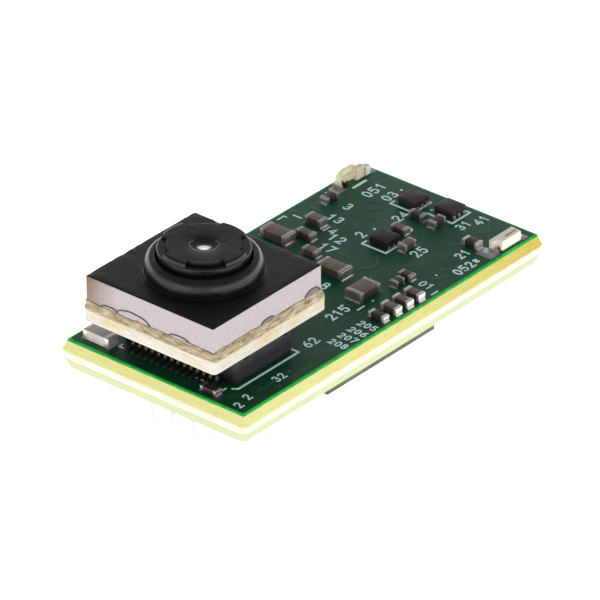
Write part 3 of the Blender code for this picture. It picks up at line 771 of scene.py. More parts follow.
# swept bends near the two regulators
for k in range(4):
    r = 0.66 + 0.20 * k
    line(arc(-2.33, 8.17, r, r, 225 - 6 * k, 320 + 6 * k, 18), 0.075)
for pts, w in ((((-1.6, 5.95), (-1.9, 6.3), (-1.9, 6.9)), 0.12), (((0.9, 4.4), (1.3, 4.0), (1.3, 3.4), (0.9, 2.9)), 0.14),
               (((3.3, 8.9), (3.0, 8.6), (3.2, 8.3)), 0.16), (((1.9, 11.0), (2.8, 10.75), (3.9, 9.3), (3.9, 8.9)), 0.13),
               (((3.75, 2.0), (3.75, -0.2), (3.5, -0.5), (3.5, -1.4)), 0.12), (((0.4, 3.0), (0.2, 3.9), (0.2, 4.5)), 0.13),
               (((-0.9, 1.2), (-0.9, 0.4), (-0.3, -0.2), (1.6, -0.2)), 0.12),
               (((4.1, 4.3), (4.5, 4.7), (4.5, 5.2)), 0.12)):
    line(path(*pts), w)
cu.make("board_copper_lines", [M["trace"]], "board", sharp=50)

# tented holes: a low ring with a sunk, darker middle
VIAS = [(-2.02, 6.05), (-2.62, 5.35), (-0.55, 3.55), (-0.15, 4.35), (1.15, 3.35), (2.05, 2.75), (1.55, -0.35), (0.35, -0.9),
        (2.15, -1.75), (3.05, -2.45), (3.85, -1.05), (-0.95, -1.35), (2.95, 5.25), (3.25, 6.55), (4.05, 5.55), (2.35, 6.95),
        (2.85, 7.65), (-1.45, 7.35), (-2.95, 8.75), (-3.85, 8.05), (-1.85, 10.55), (2.55, 9.05), (3.25, 9.55), (2.65, 10.55),
        (4.05, 10.35), (-4.55, 6.05), (-5.05, 5.25), (-4.95, 3.85), (-5.1, 1.35), (-4.85, 0.45), (4.95, 4.35), (5.1, 6.25),
        (4.35, -4.75), (5.05, -5.65), (4.55, -6.65), (5.0, -7.95), (4.45, -8.65), (3.9, -10.0), (1.35, -10.45),
        (-1.25, -10.5), (-2.75, -10.35), (-4.95, -8.9), (0.85, 4.45), (1.35, 8.05), (-0.55, 7.65), (0.55, 0.45), (2.9, 0.05)]
vi = Shape()
for n, (x, y) in enumerate(VIAS):
    r = 0.105 + 0.02 * ((n * 7) % 3)
    vi.add(lathe(x, y, [(0, -0.004), (r * 0.42, -0.002), (r * 0.55, 0.009), (r * 0.8, 0.0125), (r, 0.007), (r * 1.12, 0.0),
                        (r * 1.12, -0.02), (0, -0.02)], 20, rows=[1, 1, 0, 0, 0, 0, 0]))
vi.make("board_tented_holes", [M["trace"], M["via"]], "board", sharp=60)

# ------------------------------------------------------------------ printed marks
GLYPH = {
    "0": [("c", arc(0.3, 0.5, 0.28, 0.5, 90, 440, 16))],
    "1": [("o", [(0.1, 0.78), (0.34, 1.0), (0.34, 0.0)])],
    "2": [("o", arc(0.3, 0.72, 0.27, 0.28, 165, -35, 8) + [(0.02, 0.0), (0.6, 0.0)])],
    "3": [("o", arc(0.28, 0.75, 0.25, 0.25, 150, -90, 8) + arc(0.28, 0.26, 0.3, 0.26, 85, -150, 8))],
    "4": [("o", [(0.46, 0.0), (0.46, 1.0), (0.0, 0.3), (0.62, 0.3)])],
    "5": [("o", [(0.56, 1.0), (0.1, 1.0), (0.06, 0.56)] + arc(0.28, 0.32, 0.3, 0.32, 115, -145, 9))],
    "6": [("o", [(0.52, 0.97), (0.22, 0.8)] + arc(0.3, 0.3, 0.28, 0.3, 160, 510, 14))],
    "7": [("o", [(0.0, 1.0), (0.6, 1.0), (0.2, 0.0)])],
    "8": [("o", arc(0.3, 0.75, 0.23, 0.25, -90, 270, 12) + arc(0.3, 0.26, 0.29, 0.26, 90, -270, 12))],
    "9": [("o", arc(0.3, 0.7, 0.28, 0.3, -20, 330, 14) + [(0.5, 0.2), (0.16, 0.0)])],
    "-": [("o", [(0.05, 0.5), (0.55, 0.5)])],
    "*": [("o", [(0.1, 0.3), (0.5, 0.7)]), ("o", [(0.1, 0.7), (0.5, 0.3)]), ("o", [(0.3, 0.2), (0.3, 0.8)])],
}
INK = 0.010


def label(sh, text, cx, cy, ydir, size=0.72, w=0.105, pitch=0.95):
    n = len(text)
    size *= 0.80
    adv = size * pitch
    total = adv * (n - 1) + size * 0.6
    for k, ch in enumerate(text):
        for _, pts in GLYPH[ch]:
            q = []
            for u, v in pts:
                a = -total / 2 + adv * k + u * size
                b = (v - 0.5) * size
                q.append((cx - b, cy + a) if ydir else (cx + a, cy + b))
            sh.add(ribbon(q, w, 0.0, INK))
    return sh


ink = Shape()
# numbers beside the chips: text, x, y, reads along +Y, height
for t, x, y, yd, s in (
        ("13", -3.05, 6.02, False, 0.66), ("12", -1.72, 4.55, False, 0.68), ("17", -1.52, 3.57, False, 0.66),
        ("2", -1.10, 5.60, True, 0.66), ("3", -3.32, 7.35, False, 0.66), ("14", -2.55, 4.98, False, 0.55),
        ("051", -3.40, 9.42, True, 0.68), ("03", -2.42, 9.45, True, 0.64), ("24", -0.74, 8.22, True, 0.66),
        ("6", 0.28, 7.50, True, 0.66), ("25", 2.14, 6.10, True, 0.68), ("31", 2.16, 9.50, True, 0.60),
        ("41", 2.52, 10.45, True, 0.62), ("21", 3.90, 7.28, True, 0.60), ("052*", 4.80, 6.50, True, 0.62),
        ("8", 0.74, 0.68, False, 0.70), ("215", 2.84, -0.92, True, 0.66), ("01", 4.42, 3.85, False, 0.56),
        ("205", 4.72, -0.95, False, 0.50), ("206", 4.72, -1.68, False, 0.50), ("207", 4.72, -2.41, False, 0.50),
        ("208", 4.72, -3.14, False, 0.50), ("62", 3.62, -3.88, True, 0.64), ("32", 4.55, -7.30, True, 0.54),
        ("2", 4.55, -9.62, True, 0.56), ("2", 4.72, -10.45, True, 0.56)):
    label(ink, t, x, y, yd, s, 0.085 if s < 0.6 else 0.105)
LINES = [
    # bracket on the connector's open end
    ([(3.76, -9.32), (3.76, -4.92), (3.34, -4.92)], 0.13), ([(3.76, -9.32), (3.55, -9.5)], 0.12),
    # angles round the three chips
    ([(-0.50, 4.98), (0.98, 4.98), (0.98, 6.42)], 0.13), ([(-0.50, 4.98), (-0.50, 5.30)], 0.13),
    ([(-1.95, 8.93), (-0.48, 8.93), (-0.48, 10.28)], 0.13), ([(-1.95, 8.93), (-1.95, 9.22)], 0.13),
    ([(0.10, 9.32), (1.62, 9.32), (1.62, 10.72)], 0.13), ([(1.62, 10.72), (1.36, 10.72)], 0.12),
    # dash beside the rear lamp
    ([(-4.33, 8.98), (-4.33, 9.92)], 0.17),
    # corner of the outline near the left edge, and small ticks
    ([(-5.14, 4.15), (-5.14, 4.62), (-4.98, 4.62)], 0.10), ([(-4.85, 5.0), (-4.35, 5.0)], 0.10),
    ([(3.40, -0.10), (3.40, 0.38)], 0.10), ([(5.20, 3.3), (5.20, 3.75)], 0.10),
    ([(-3.1, -9.72), (-3.1, -9.95), (-2.85, -9.95)], 0.10), ([(3.28, -9.66), (3.28, -9.95)], 0.10),
    ([(1.6, -9.8), (2.0, -9.8)], 0.09),
]
for pts, w in LINES:
    ink.add(ribbon(pts, w, 0.0, INK))
for x, y, r in ((-0.93, 6.46, 0.085), (-2.38, 10.32, 0.085), (-1.87, 9.55, 0.07), (0.02, 9.72, 0.07), (3.40, 1.06, 0.07),
                (2.55, -0.22, 0.07), (-5.05, 7.75, 0.06), (4.2, 4.9, 0.06)):
    ink.add(lathe(x, y, [(0, INK), (r * 0.8, INK), (r, 0.0), (0, 0.0)], 18))
ink.make("board_printed_marks", [M["silk"]], "board", sharp=50)

# round ghost mark: a ring of bare mask opening near the regulators
rg = Shape()
rg.add(ribbon(arc(-2.33, 8.17, 0.44, 0.44, 0, 345, 30), 0.06, 0.0, 0.012, closed=False), 0)
rg.make("board_ring_mark", [M["via"]], "board")


# ------------------------------------------------------------------ solder joints and chips
def fillet(x0, w, f, h, ns=8, nt=7, seed=0.0):
    """Concave solder fillet in local axes: rises at x0 and runs out by f, width w."""
    secs = []
    for i in range(ns + 1):
        s = -1 + 2 * i / ns
        wob = 1 + 0.10 * nz(s * 2, seed, 0.3, 1.7, seed)
        prof = []
        ff = f * (1 - 0.16 * abs(s) ** 3) * wob
        hh = h * (1 - 0.30 * abs(s) ** 3) * wob
        for k in range(nt + 1):
            t = k / nt
            prof.append((x0 - 0.02 + (ff + 0.02) * t, s * w / 2, 0.012 + hh * (1 - t) ** 2.1))
        prof += [(x0 + ff, s * w / 2, 0.0), (x0 - 0.02, s * w / 2, 0.0)]
        secs.append(prof)
    return loft(secs)


def chip(node, body_mat, cap=0.25, foot=0.07, rise=0.30):
    x0, x1, y0, y1, z0, z1 = nb(node)
    cx, cy = (x0 + x1) / 2, (y0 + y1) / 2
    along = (x1 - x0) >= (y1 - y0)
    L, W = (x1 - x0, y1 - y0) if along else (y1 - y0, x1 - x0)
    H = z1 - z0
    cap = min(cap, 0.27 * L)
    seed = cx * 3.1 + cy * 1.7
    sh = Shape()
    body = rbox(0, 0, L - 0.05, W - 0.03, z0 + 0.012, z1 - 0.014, 0.035, 0.028, 3, (6, 3))
    v, f, m = moved(body, lambda x, y, z: (x, y, z + 0.004 * nz(x, y, z, 5.0, seed)))
    # the flanks are painted darker than the top, painted shade; the front flank of the cornermost part is painted pale,
    # painted light
    for i, q in enumerate(f):
        zc = sum(v[j][2] for j in q) / len(q)
        yc = sum(v[j][1] for j in q) / len(q)
        if zc < z1 - 0.05:
            m[i] = 5 if node == "cap_front_left" and yc < -W * 0.4 else 4
    sh.add(turned((v, f, m), along, cx, cy))
    for s in (-1, 1):
        end = rbox(s * (L / 2 - cap / 2), 0, cap, W, z0 + 0.004, z1, 0.05, 0.045, 4, (2, 4), 1)
        end = moved(end, lambda x, y, z, s=s: (x + 0.008 * nz(x, y * 2, z * 2, 6.0, seed + s),
                                               y * (1 + 0.01 * nz(x, y, z, 7.0, seed)), z + 0.006 * nz(x, y, z, 6, seed - s)))
        sh.add(turned(end, along, cx, cy), 1)
        fl = fillet(L / 2, W * 0.94, foot, H * rise, seed=seed + s)
        if s < 0:
            fl = moved(fl, lambda x, y, z: (-x, y, z))
        sh.add(turned(fl, along, cx, cy), 2)
        pad = rbox(s * (L / 2 - 0.02 + foot * 0.3), 0, cap + foot * 0.9, W * 1.04, -0.01, 0.014, 0.05, 0.008, 2)
        sh.add(turned(pad, along, cx, cy), 3)
    # ends and fillets of these parts use the brighter tin: painted highlight
    bright = node.startswith("chip_row") or node in ("cap_front_left", "res_lamp_right")
    side = {"mlcc": "mlcc_painted_shade", "res": "res"}[body_mat]
    sh.make(node + "_chip", [M["mlcc_pale"] if node == "cap_front_left" else M[body_mat], M["tin_bright" if bright else "tin"], M["tin_bright" if bright else "solder"],
                             M["pad_dark"], M[side], M["mlcc_pale"]], "board", (node,), 42)


RES = {"cap_front_right", "chip_row_1", "chip_pair_1", "chip_pair_2", "cap_rear_left", "cap_rear_right",
       "res_lamp_left", "res_lamp_right"}
CHIPS = ("cap_front_left", "cap_front_right", "cap_mid_left", "cap_mid", "cap_mid_right", "cap_left_a", "cap_left_b",
         "cap_left_c", "chip_row_1", "chip_row_2", "chip_row_3", "chip_row_4", "chip_pair_1", "chip_pair_2", "cap_center",
         "cap_by_sensor_ic", "cap_rear_left", "cap_rear_right", "res_lamp_left", "res_lamp_right")
for n in CHIPS:
    big = n in ("cap_front_left", "cap_mid_left", "cap_mid", "cap_mid_right")
    chip(n, "res" if n in RES else "mlcc", 0.26 if big else 0.20)

for n in ("driver_ic", "regulator_left", "regulator_right"):
    x0, x1, y0, y1, z0, z1 = nb(n)
    cx, cy, L = (x0 + x1) / 2, (y0 + y1) / 2, x1 - x0
    sh = Shape()
    sh.add(rbox(cx, cy, L, L, 0.055, z1, 0.03, 0.035, 4, (5, 5), 1), 0)
    sh.add(rbox(cx, cy, L - 0.06, L - 0.06, 0.012, 0.06, 0.02, 0.01, 2), 0)
    for s in (-1, 1):
        for k in (-1, 0, 1):
            t = rbox(s * (L / 2 - 0.01), k * 0.36, 0.10, 0.18, 0.012, 0.13, 0.02, 0.02, 2)
            sh.add(turned(t, True, cx, cy), 1)
            p = fillet(L / 2 + 0.03, 0.18, 0.06, 0.05, 4, 4, k + s)
            if s < 0:
                p = moved(p, lambda x, y, z: (-x, y, z))
            sh.add(moved(p, lambda x, y, z, k=k: (x + cx, y + k * 0.36 + cy, z)), 2)
            q = rbox(s * (L / 2 + 0.01), k * 0.36, 0.22, 0.20, -0.01, 0.012, 0.03, 0.006, 2)
            sh.add(turned(q, True, cx, cy), 3)
    # moulded pin-one dimple rim
    sh.add(lathe(cx - 0.32, cy + 0.30, [(0, z1 - 0.006), (0.045, z1 - 0.004), (0.06, z1 + 0.003), (0.075, z1 - 0.004),
                                        (0.075, z1 - 0.02), (0, z1 - 0.02)], 18), 0)
    sh.make(n + "_package", [M["chipic"] if n != "driver_ic" else M["chipic_dark"], M["tin"], M["solder"], M["pad"]], "board", (n,), 40)


# ------------------------------------------------------------------ edge lamps
def lens_bar(cx, cy, w, L, z0, z1, ny=18, nx=10, top=0.55):
    """Rounded bar: domed over its top, ends rounded off."""
    secs = []
    for i in range(ny + 1):
        t = -1 + 2 * i / ny
        e = (1 - abs(t) ** 4.5) ** 0.5
        e = max(e, 0.02)
        h = z0 + (z1 - z0) * (0.35 + 0.65 * e)
        ww = w / 2 * (0.72 + 0.28 * e)
        prof = []
        for k in range(nx + 1):
            a = math.pi * k / nx
            prof.append((cx + ww * math.cos(a), cy + t * L / 2, z0 + (h - z0) * (1 - top) + (h - z0) * top * math.sin(a)))
        prof += [(cx - ww, cy + t * L / 2, z0), (cx + ww, cy + t * L / 2, z0)]
        secs.append(prof)
    return loft(secs)


def lamp(node, side):
    """Side lamp on the board's long edge: emitter bar outwards, a small circuit strip with plated ends inwards."""
    x0, x1, y0, y1, z0, z1 = nb(node)
    cx, cy, L, W = (x0 + x1) / 2, (y0 + y1) / 2, y1 - y0, x1 - x0
    sh = Shape()
    outx = cx + side * W * 0.20
    inx = cx - side * W * 0.27
    if side > 0:
        sh.add(rbox(outx, cy + 0.04, W * 0.60, L * 0.80, 0.05, z1 - 0.02, 0.05, 0.05, 4, (3, 8), 2), 1)     # white block
        sh.add(rbox(inx, cy, W * 0.34, L * 0.98, 0.02, z1 - 0.10, 0.03, 0.02, 3, (2, 8)), 4)               # strip
        sh.add(rbox(outx - 0.02, cy + 0.22, 0.13, L * 0.46, z1 - 0.06, z1 - 0.004, 0.03, 0.01, 3), 2)      # phosphor line
        sh.add(rbox(outx + 0.06, cy - L * 0.40 - 0.01, W * 0.34, 0.10, 0.03, 0.30, 0.03, 0.02, 3), 3)       # gold end
        sh.add(rbox(outx, cy + L * 0.44, W * 0.5, 0.16, 0.03, 0.34, 0.03, 0.02, 3), 3)
    else:
        dome = lens_bar(outx, cy - 0.22, W * 0.64, L * 0.64, 0.06, z1, 20, 12, 0.62)
        sh.add(dome, 0)
        sh.add(rbox(inx, cy + 0.26, W * 0.46, 0.62, 0.03, z1 - 0.03, 0.05, 0.05, 4, (2, 4), 1), 4)          # end block
        sh.add(rbox(inx, cy - 0.30, W * 0.20, L * 0.5, 0.26, z1 - 0.16, 0.02, 0.02, 3), 4)
        sh.add(rbox(inx + 0.02, cy + 0.82, W * 0.50, 0.40, 0.02, z1 - 0.20, 0.06, 0.06, 4), 1)              # far terminal
        # a dark sheet in the gap between the end block and the far terminal: painted shade
        sh.add(rbox(inx, cy + 0.595, W * 0.40, 0.035, 0.02, z1 - 0.22, 0.01, 0.01, 2), 6)                     # dark gap
        sh.add(rbox(inx - 0.04, cy - 0.74, W * 0.46, 0.22, 0.02, 0.30, 0.04, 0.03, 3), 7)                   # near terminal
    for s in (-1, 1):
        f = fillet(L / 2 - 0.04, W * 0.8, 0.16, 0.20, seed=side + s)
        if s < 0:
            f = moved(f, lambda x, y, z: (-x, y, z))
        sh.add(turned(f, False, cx, cy), 5)
    sh.make(node + "_body", [M["lamp_clear"], M["lamp_cream"], M["phosphor"], M["gold"],
                             M["lamp_peach"] if side < 0 else M["lamp_cream"], M["solder"], M["notch"], M["tail"]],
            "board", (node,), 40)
    pd = Shape()
    if side > 0:
        pd.add(rbox(cx - 0.10, cy - L / 2 - 0.34, 0.94, 0.78, -0.01, 0.018, 0.06, 0.008, 3))
        pd.add(rbox(cx, cy + L / 2 + 0.16, 0.80, 0.50, -0.01, 0.018, 0.06, 0.008, 3))
    else:
        pd.add(rbox(cx + 0.14, cy - L / 2 - 0.12, 0.72, 0.80, -0.01, 0.018, 0.06, 0.008, 3))
        pd.add(rbox(cx + 0.05, cy + L / 2 + 0.14, 0.76, 0.46, -0.01, 0.018, 0.06, 0.008, 3))
    pd.make(node + "_pads", [M["pad"]], "board")


lamp("lamp_left", -1)
lamp("lamp_right", 1)

# ------------------------------------------------------------------ socket on the board
x0, x1, y0, y1, z0, z1 = nb("socket_housing")
cx, cy = (x0 + x1) / 2, (y0 + y1) / 2
W, D = x1 - x0, y1 - y0
RX, RY, FL = 3.05, 1.15, 0.35        # the plug's well
secs = []


def sq(hx, hy, r, z):
    return rr(cx, cy, hx, hy, r, z, 6, (10, 6))


for k in range(4):
    a = k / 3 * math.pi / 2
    secs.append(sq(W / 2 - 0.05 * (1 - math.sin(a)), D / 2 - 0.05 * (1 - math.sin(a)), 0.22, z0 + 0.05 * (1 - math.cos(a))))
secs.append(sq(W / 2, D / 2, 0.22, 0.5))
for k in range(6):
    a = k / 5 * math.pi / 2
    secs.append(sq(W / 2 - 0.09 * (1 - math.cos(a)), D / 2 - 0.09 * (1 - math.cos(a)), 0.22, z1 - 0.09 * (1 - math.sin(a))))
secs.append(sq(RX + 0.05, RY + 0.05, 0.09, z1))
secs.append(sq(RX, RY, 0.06, z1 - 0.05))
secs.append(sq(RX, RY, 0.06, FL))
sh = Shape()
sh.add(loft(secs), 0)
for xx, yy, lx, ly in ((x1 - 0.02, cy - 1.35, 0.08, 0.34), (x1 - 0.02, cy + 1.50, 0.08, 0.34),
                       (x0 + 0.02, cy - 1.35, 0.08, 0.34), (x0 + 0.02, cy + 1.50, 0.08, 0.34)):
    sh.add(rbox(xx, yy, lx, ly, z1 - 0.16, z1 - 0.012, 0.02, 0.015, 2), 1)
sh.make("socket_housing_body", [M["conn"], M["notch"]], "board", ("socket_housing",), 40)

for node, side in (("socket_tails_front", -1), ("socket_tails_rear", 1)):
    bx0, bx1, by0, by1, bz0, bz1 = nb(node)
    yi = cy + side * (D / 2 - 0.02)
    n, pitch, w = 14, 0.40, 0.17
    sh = Shape()
    upper = [(0.0, 0.36), (0.20, 0.36), (0.27, 0.335), (0.31, 0.28), (0.335, 0.16), (0.375, 0.105), (0.45, 0.092),
             (0.82, 0.085)]
    lower = [(0.82, 0.03), (0.43, 0.035), (0.33, 0.05), (0.275, 0.12), (0.25, 0.24), (0.225, 0.29), (0.18, 0.305),
             (0.0, 0.305)]
    for i in range(n):
        x = -pitch * (n - 1) / 2 + pitch * i
        j = 0.010 * nz(i * 3.3, side, 0.5)
        prof = upper + lower
        secs = []
        for dx, inset in ((-w / 2, 0.012), (-w / 2 + 0.014, 0.0), (w / 2 - 0.014, 0.0), (w / 2, 0.012)):
            secs.append([(x + dx + j, yi + side * (t + (-inset if t > 0.8 else 0)),
                          z - (inset if k < len(upper) else -inset)) for k, (t, z) in enumerate(prof)])
        sh.add(loft(secs), 0)
        f = fillet(0.80, w * 1.05, 0.05, 0.05, 4, 4, i)
        sh.add(turned(f, False, x + j, yi) if side > 0 else
               moved(f, lambda a, b, z, x=x, j=j: (x + j + b, yi - a, z)), 1)
        sh.add(rbox(x, yi + side * 0.62, w * 1.2, 0.60, -0.01, 0.035, 0.03, 0.01, 2), 0)
    sh.make(node + "_leads", [M["tail"], M["tail"], M["pad"]], "board", (node,), 40)

# ------------------------------------------------------------------ camera module
x0, x1, y0, y1, z0, z1 = nb("module_plug")
cxp, cyp = (x0 + x1) / 2, (y0 + y1) / 2
sh = Shape()
sh.add(rbox(cxp, cyp, x1 - x0, y1 - y0, 1.312, z1, 0.20, 0.04, 4, (6, 4)), 0)
sh.add(rbox(cxp, cyp, 5.9, 2.1, z0, 1.33, 0.12, 0.05, 3, (6, 4)), 0)
for side in (-1, 1):
    for i in range(14):
        x = -0.4 * 6.5 + 0.4 * i
        sh.add(rbox(x, cyp + side * 1.052, 0.17, 0.04, z0 + 0.10, 1.25, 0.01, 0.01, 2), 1)
sh.make("module_plug_body", [M["conn"], M["tail"]], "camera_module", ("module_plug",), 40)

x0, x1, y0, y1, z0, z1 = nb("module_board")
cxm, cym, S = (x0 + x1) / 2, (y0 + y1) / 2, x1 - x0


def frayed(secs, amp, seed, hx, hy, cx, cy, zlo, zhi, zs=4.0):
    """Pushes the flank points of a stack of sections in and out."""
    out = []
    for s in secs:
        q = []
        for x, y, z in s:
            if zlo < z < zhi:
                d = amp * (nz(x, y, z * zs, 4.0, seed) + 0.7 * nz(x, y, z * zs * 1.6, 11.0, seed + 3))
                nx = (1 if x > cx else -1) if abs(x - cx) > hx - 0.05 else 0
                ny = (1 if y > cy else -1) if abs(y - cy) > hy - 0.05 else 0
                x, y = x + nx * d, y + ny * d
            q.append((x, y, z))
        out.append(q)
    return out


secs = []
zz = [z0, z0 + 0.012] + [z0 + 0.03 + (z1 - z0 - 0.06) * k / 11 for k in range(12)] + [z1 - 0.012, z1]
ins = [0.02, 0.005] + [0.0] * 12 + [0.005, 0.02]
for z, i in zip(zz, ins):
    secs.append(rr(cxm, cym, S / 2 - i, S / 2 - i, 0.26 - i, z, 7, (90, 90)))
secs = frayed(secs, 0.022, 2.0, S / 2, S / 2, cxm, cym, z0 + 0.02, z1 - 0.02)
rowm = [0] * (len(secs) - 1)
sh = Shape()
sh.add(loft(secs, rows=rowm, cap_m=(1, 1)))
sh.make("module_board_body", [M["module"], M["module_face"]], "camera_module", ("module_board",),
        55)

# adhesive: a lumpy bead between the module's board and the holder, with an uneven upper lip that wets the flanks
x0, x1, y0, y1, z0, z1 = nb("adhesive_bead")
cxa, cya, S = (x0 + x1) / 2, (y0 + y1) / 2, x1 - x0
hx0, hx1, hy0, hy1, hz0, hz1 = nb("lens_holder")
HS = hx1 - hx0


def lip(x, y):
    """Height of the adhesive's upper edge round the flanks."""
    u = x - y * 0.61
    h = 0.060 + 0.060 * nz(u, y * 0.5, 0.2, 1.1, 3.0) + 0.050 * nz(u, y, 0.7, 3.2, 6.0) + 0.02 * nz(u, y, 0.1, 8.0, 1.0)
    if y < cya - HS / 2 + 0.3:                       # front flank
        for c, w, a in ((-2.55, 0.50, 0.05), (0.55, 0.40, 0.03)):
            t = (x - c) / w
            if abs(t) < 1:
                h = max(h, a * (1 - t * t) ** 0.5 + 0.03)
    if x > cxa + HS / 2 - 0.3:                       # right flank
        for c, w, a in ((-5.6, 0.5, 0.03), (-9.6, 0.5, 0.04)):
            t = (y - c) / w
            if abs(t) < 1:
                h = max(h, a * (1 - t * t) ** 0.5 + 0.02)
    return max(h, 0.012)


N_SUB = (110, 110)
mh = (nb("module_board")[1] - nb("module_board")[0]) / 2
secs = []
# the bead fills the ledge: from the module board's edge up to a ragged lip on the holder's flanks
prof = [(-0.16, -0.02), (-0.035, -0.025), (0.004, 0.0), (0.008, 0.05), (-0.010, 0.11), (-0.030, 0.18)]
for k, (out, dz) in enumerate(prof):
    w = (mh + out)
    sec = rr(cxm, cym, w, w, 0.24, z0 + dz, 7, N_SUB)
    if k < 5:
        sec = [(x, y, z + 0.055 * nz(x, y, 0.3 * k, 2.2, 5.0) + 0.025 * nz(x, y, 0.0, 7.0, 8.0)) for x, y, z in sec]
    secs.append(sec)
secs = frayed(secs, 0.028, 7.0, mh, mh, cxm, cym, z0 - 0.2, z1 + 0.3, 3.0)
base = rr(cxa, cya, HS / 2, HS / 2, 0.06, 0.0, 7, N_SUB)
for k, (fh, out) in enumerate(((0.30, 0.060), (0.72, 0.036), (0.97, 0.020), (1.0, -0.02))):
    s = []
    for (x, y, _), (xo, yo, _) in zip(base, rr(cxa, cya, HS / 2 + out, HS / 2 + out, 0.06 + max(out, 0), 0, 7, N_SUB)):
        w = 0.010 * nz(x, y, k, 6.0, 2.0) if k < 3 else 0.0
        nx = (1 if x > cxa else -1) if abs(x - cxa) > HS / 2 - 0.05 else 0
        ny = (1 if y > cya else -1) if abs(y - cya) > HS / 2 - 0.05 else 0
        s.append((xo + nx * w, yo + ny * w, hz0 + 0.01 + lip(x, y) * fh + (0.012 if k == 3 else 0)))
    secs.append(s)
secs.append(rr(cxa, cya, HS / 2 - 0.06, HS / 2 - 0.06, 0.05, hz0 - 0.01, 7, N_SUB))
secs.append(rr(cxa, cya, 3.12, 3.12, 0.05, hz0 - 0.012, 7, N_SUB))
secs.append(rr(cxa, cya, 3.10, 3.10, 0.05, z0, 7, N_SUB))
n = len(secs[0])
ring = loft(secs, caps=False, rows=[0] * 8 + [1, 1, 0, 0, 0])
# close the ring underneath
k = len(secs) - 1
for i in range(n):
    j = (i + 1) % n
    ring[1].append((k * n + i, k * n + j, j, i))
    ring[2].append(0)
sh = Shape()
sh.add(ring)
sh.make("adhesive_bead_body", [M["glue"], M["glue_dark"]], "camera_module", ("adhesive_bead",),
        60)

# blobs of set adhesive on the flanks
bl = Shape()


def blob(x, y, z, rx, ry, rz, mat, seed, face):
    """Half-buried drop on a flank; face is the flank's outward axis."""
    prof = []
    v, f, m = lathe(0, 0, [(0, 1.0)] + [(math.sin(a), math.cos(a)) for a in [math.pi * k / 12 for k in range(1, 12)]] +
                    [(0, -1.0)], 26)
    out = []
    for a, b, c in v:
        k = 1 + 0.10 * nz(a * 2, b * 2, c * 2, 1.0, seed)
        if face == "x":
            out.append((x + c * rx * k, y + a * ry * k, z + b * rz * k))
        else:
            out.append((x + a * rx * k, y + c * ry * k, z + b * rz * k))
    bl.add((out, f, m), mat)


fy = cya - HS / 2
fx = cxa + HS / 2
DROPS = ((-1.10, 1.00, 0.33, "y"), (1.76, 0.62, 0.17, "y"), (-2.55, 0.50, 0.13, "y"), (-7.25, 0.46, 0.17, "x"),
         (-3.98, 0.54, 0.30, "x"))
ZD = hz0 + 0.045
for n, (c, hw, hh, face) in enumerate(DROPS):
    if face == "y":
        blob(c, fy, ZD, hw, 0.030, hh, 1, 1.0 + n, "y")
    else:
        blob(fx, c, ZD, 0.032, hw, hh, 2, 1.0 + n, "x")
    edge = []
    for k in range(25):
        a = math.radians(8 + 164 * k / 24)
        wob = 1 + 0.05 * nz(math.cos(a) * 2, math.sin(a) * 2, n, 1.0, 4.0)
        edge.append((c + (hw + 0.015) * math.cos(a) * wob, ZD + (hh + 0.015) * math.sin(a) * wob))
    v, f, m = ribbon(edge, 0.080, -0.03, 0.066)
    if face == "y":
        bl.add(([(x, fy - z, y) for x, y, z in v], f, m), 0)
    else:
        bl.add(([(fx + z, x, y) for x, y, z in v], f, m), 0)
bl.make("adhesive_drops", [M["glue_dark"], M["holder_side"], M["glue_grey"]], "camera_module", sharp=70)

# ------------------------------------------------------------------ lens holder
LX0, LX1, LY0, LY1, LZ0, LZ1 = nb("lens_barrel")
LCX, LCY = (LX0 + LX1) / 2, (LY0 + LY1) / 2
hc = (cxa, (hy0 + hy1) / 2)
angs = [2 * math.pi * i / 144 for i in range(144)]
for q in range(4):
    ca = math.atan2((1, 1, -1, -1)[q] * HS / 2 + hc[1] - LCY, (1, -1, -1, 1)[q] * HS / 2 + hc[0] - LCX)
    for d in (-2.2, -1.7, -1.3, -1.0, -0.7, -0.45, -0.2, 0.0, 0.2, 0.45, 0.7, 1.0, 1.3, 1.7, 2.2):
        angs.append((ca + math.radians(d)) % (2 * math.pi))
angs = sorted(set(round(a, 6) for a in angs))
angs = [a for i, a in enumerate(angs) if i == 0 or a - angs[i - 1] > 0.0012]


def square_ring(h, r, z, dz=None):
    """Rounded square about the holder's centre, sampled on rays from the lens axis."""
    out = []
    for a in angs:
        dx, dy = math.cos(a), math.sin(a)
        lo_, hi_ = 0.0, 9.0
        for _ in range(34):
            t = (lo_ + hi_) / 2
            x, y = abs(LCX + dx * t - hc[0]), abs(LCY + dy * t - hc[1])
            qx, qy = x - (h - r), y - (h - r)
            d = math.hypot(max(qx, 0), max(qy, 0)) + min(max(qx, qy), 0) - r
            if d > 0:
                hi_ = t
            else:
                lo_ = t
        p = (LCX + dx * lo_, LCY + dy * lo_)
        out.append((p[0], p[1], z + (dz(*p) if dz else 0)))
    return out


def circle_ring(r, z):
    return [(LCX + r * math.cos(a), LCY + r * math.sin(a), z) for a in angs]


h = HS / 2
CR = 0.05
TOP = 4.10
secs, rm = [], []


def row(s, m):
    secs.append(s)
    rm.append(m)


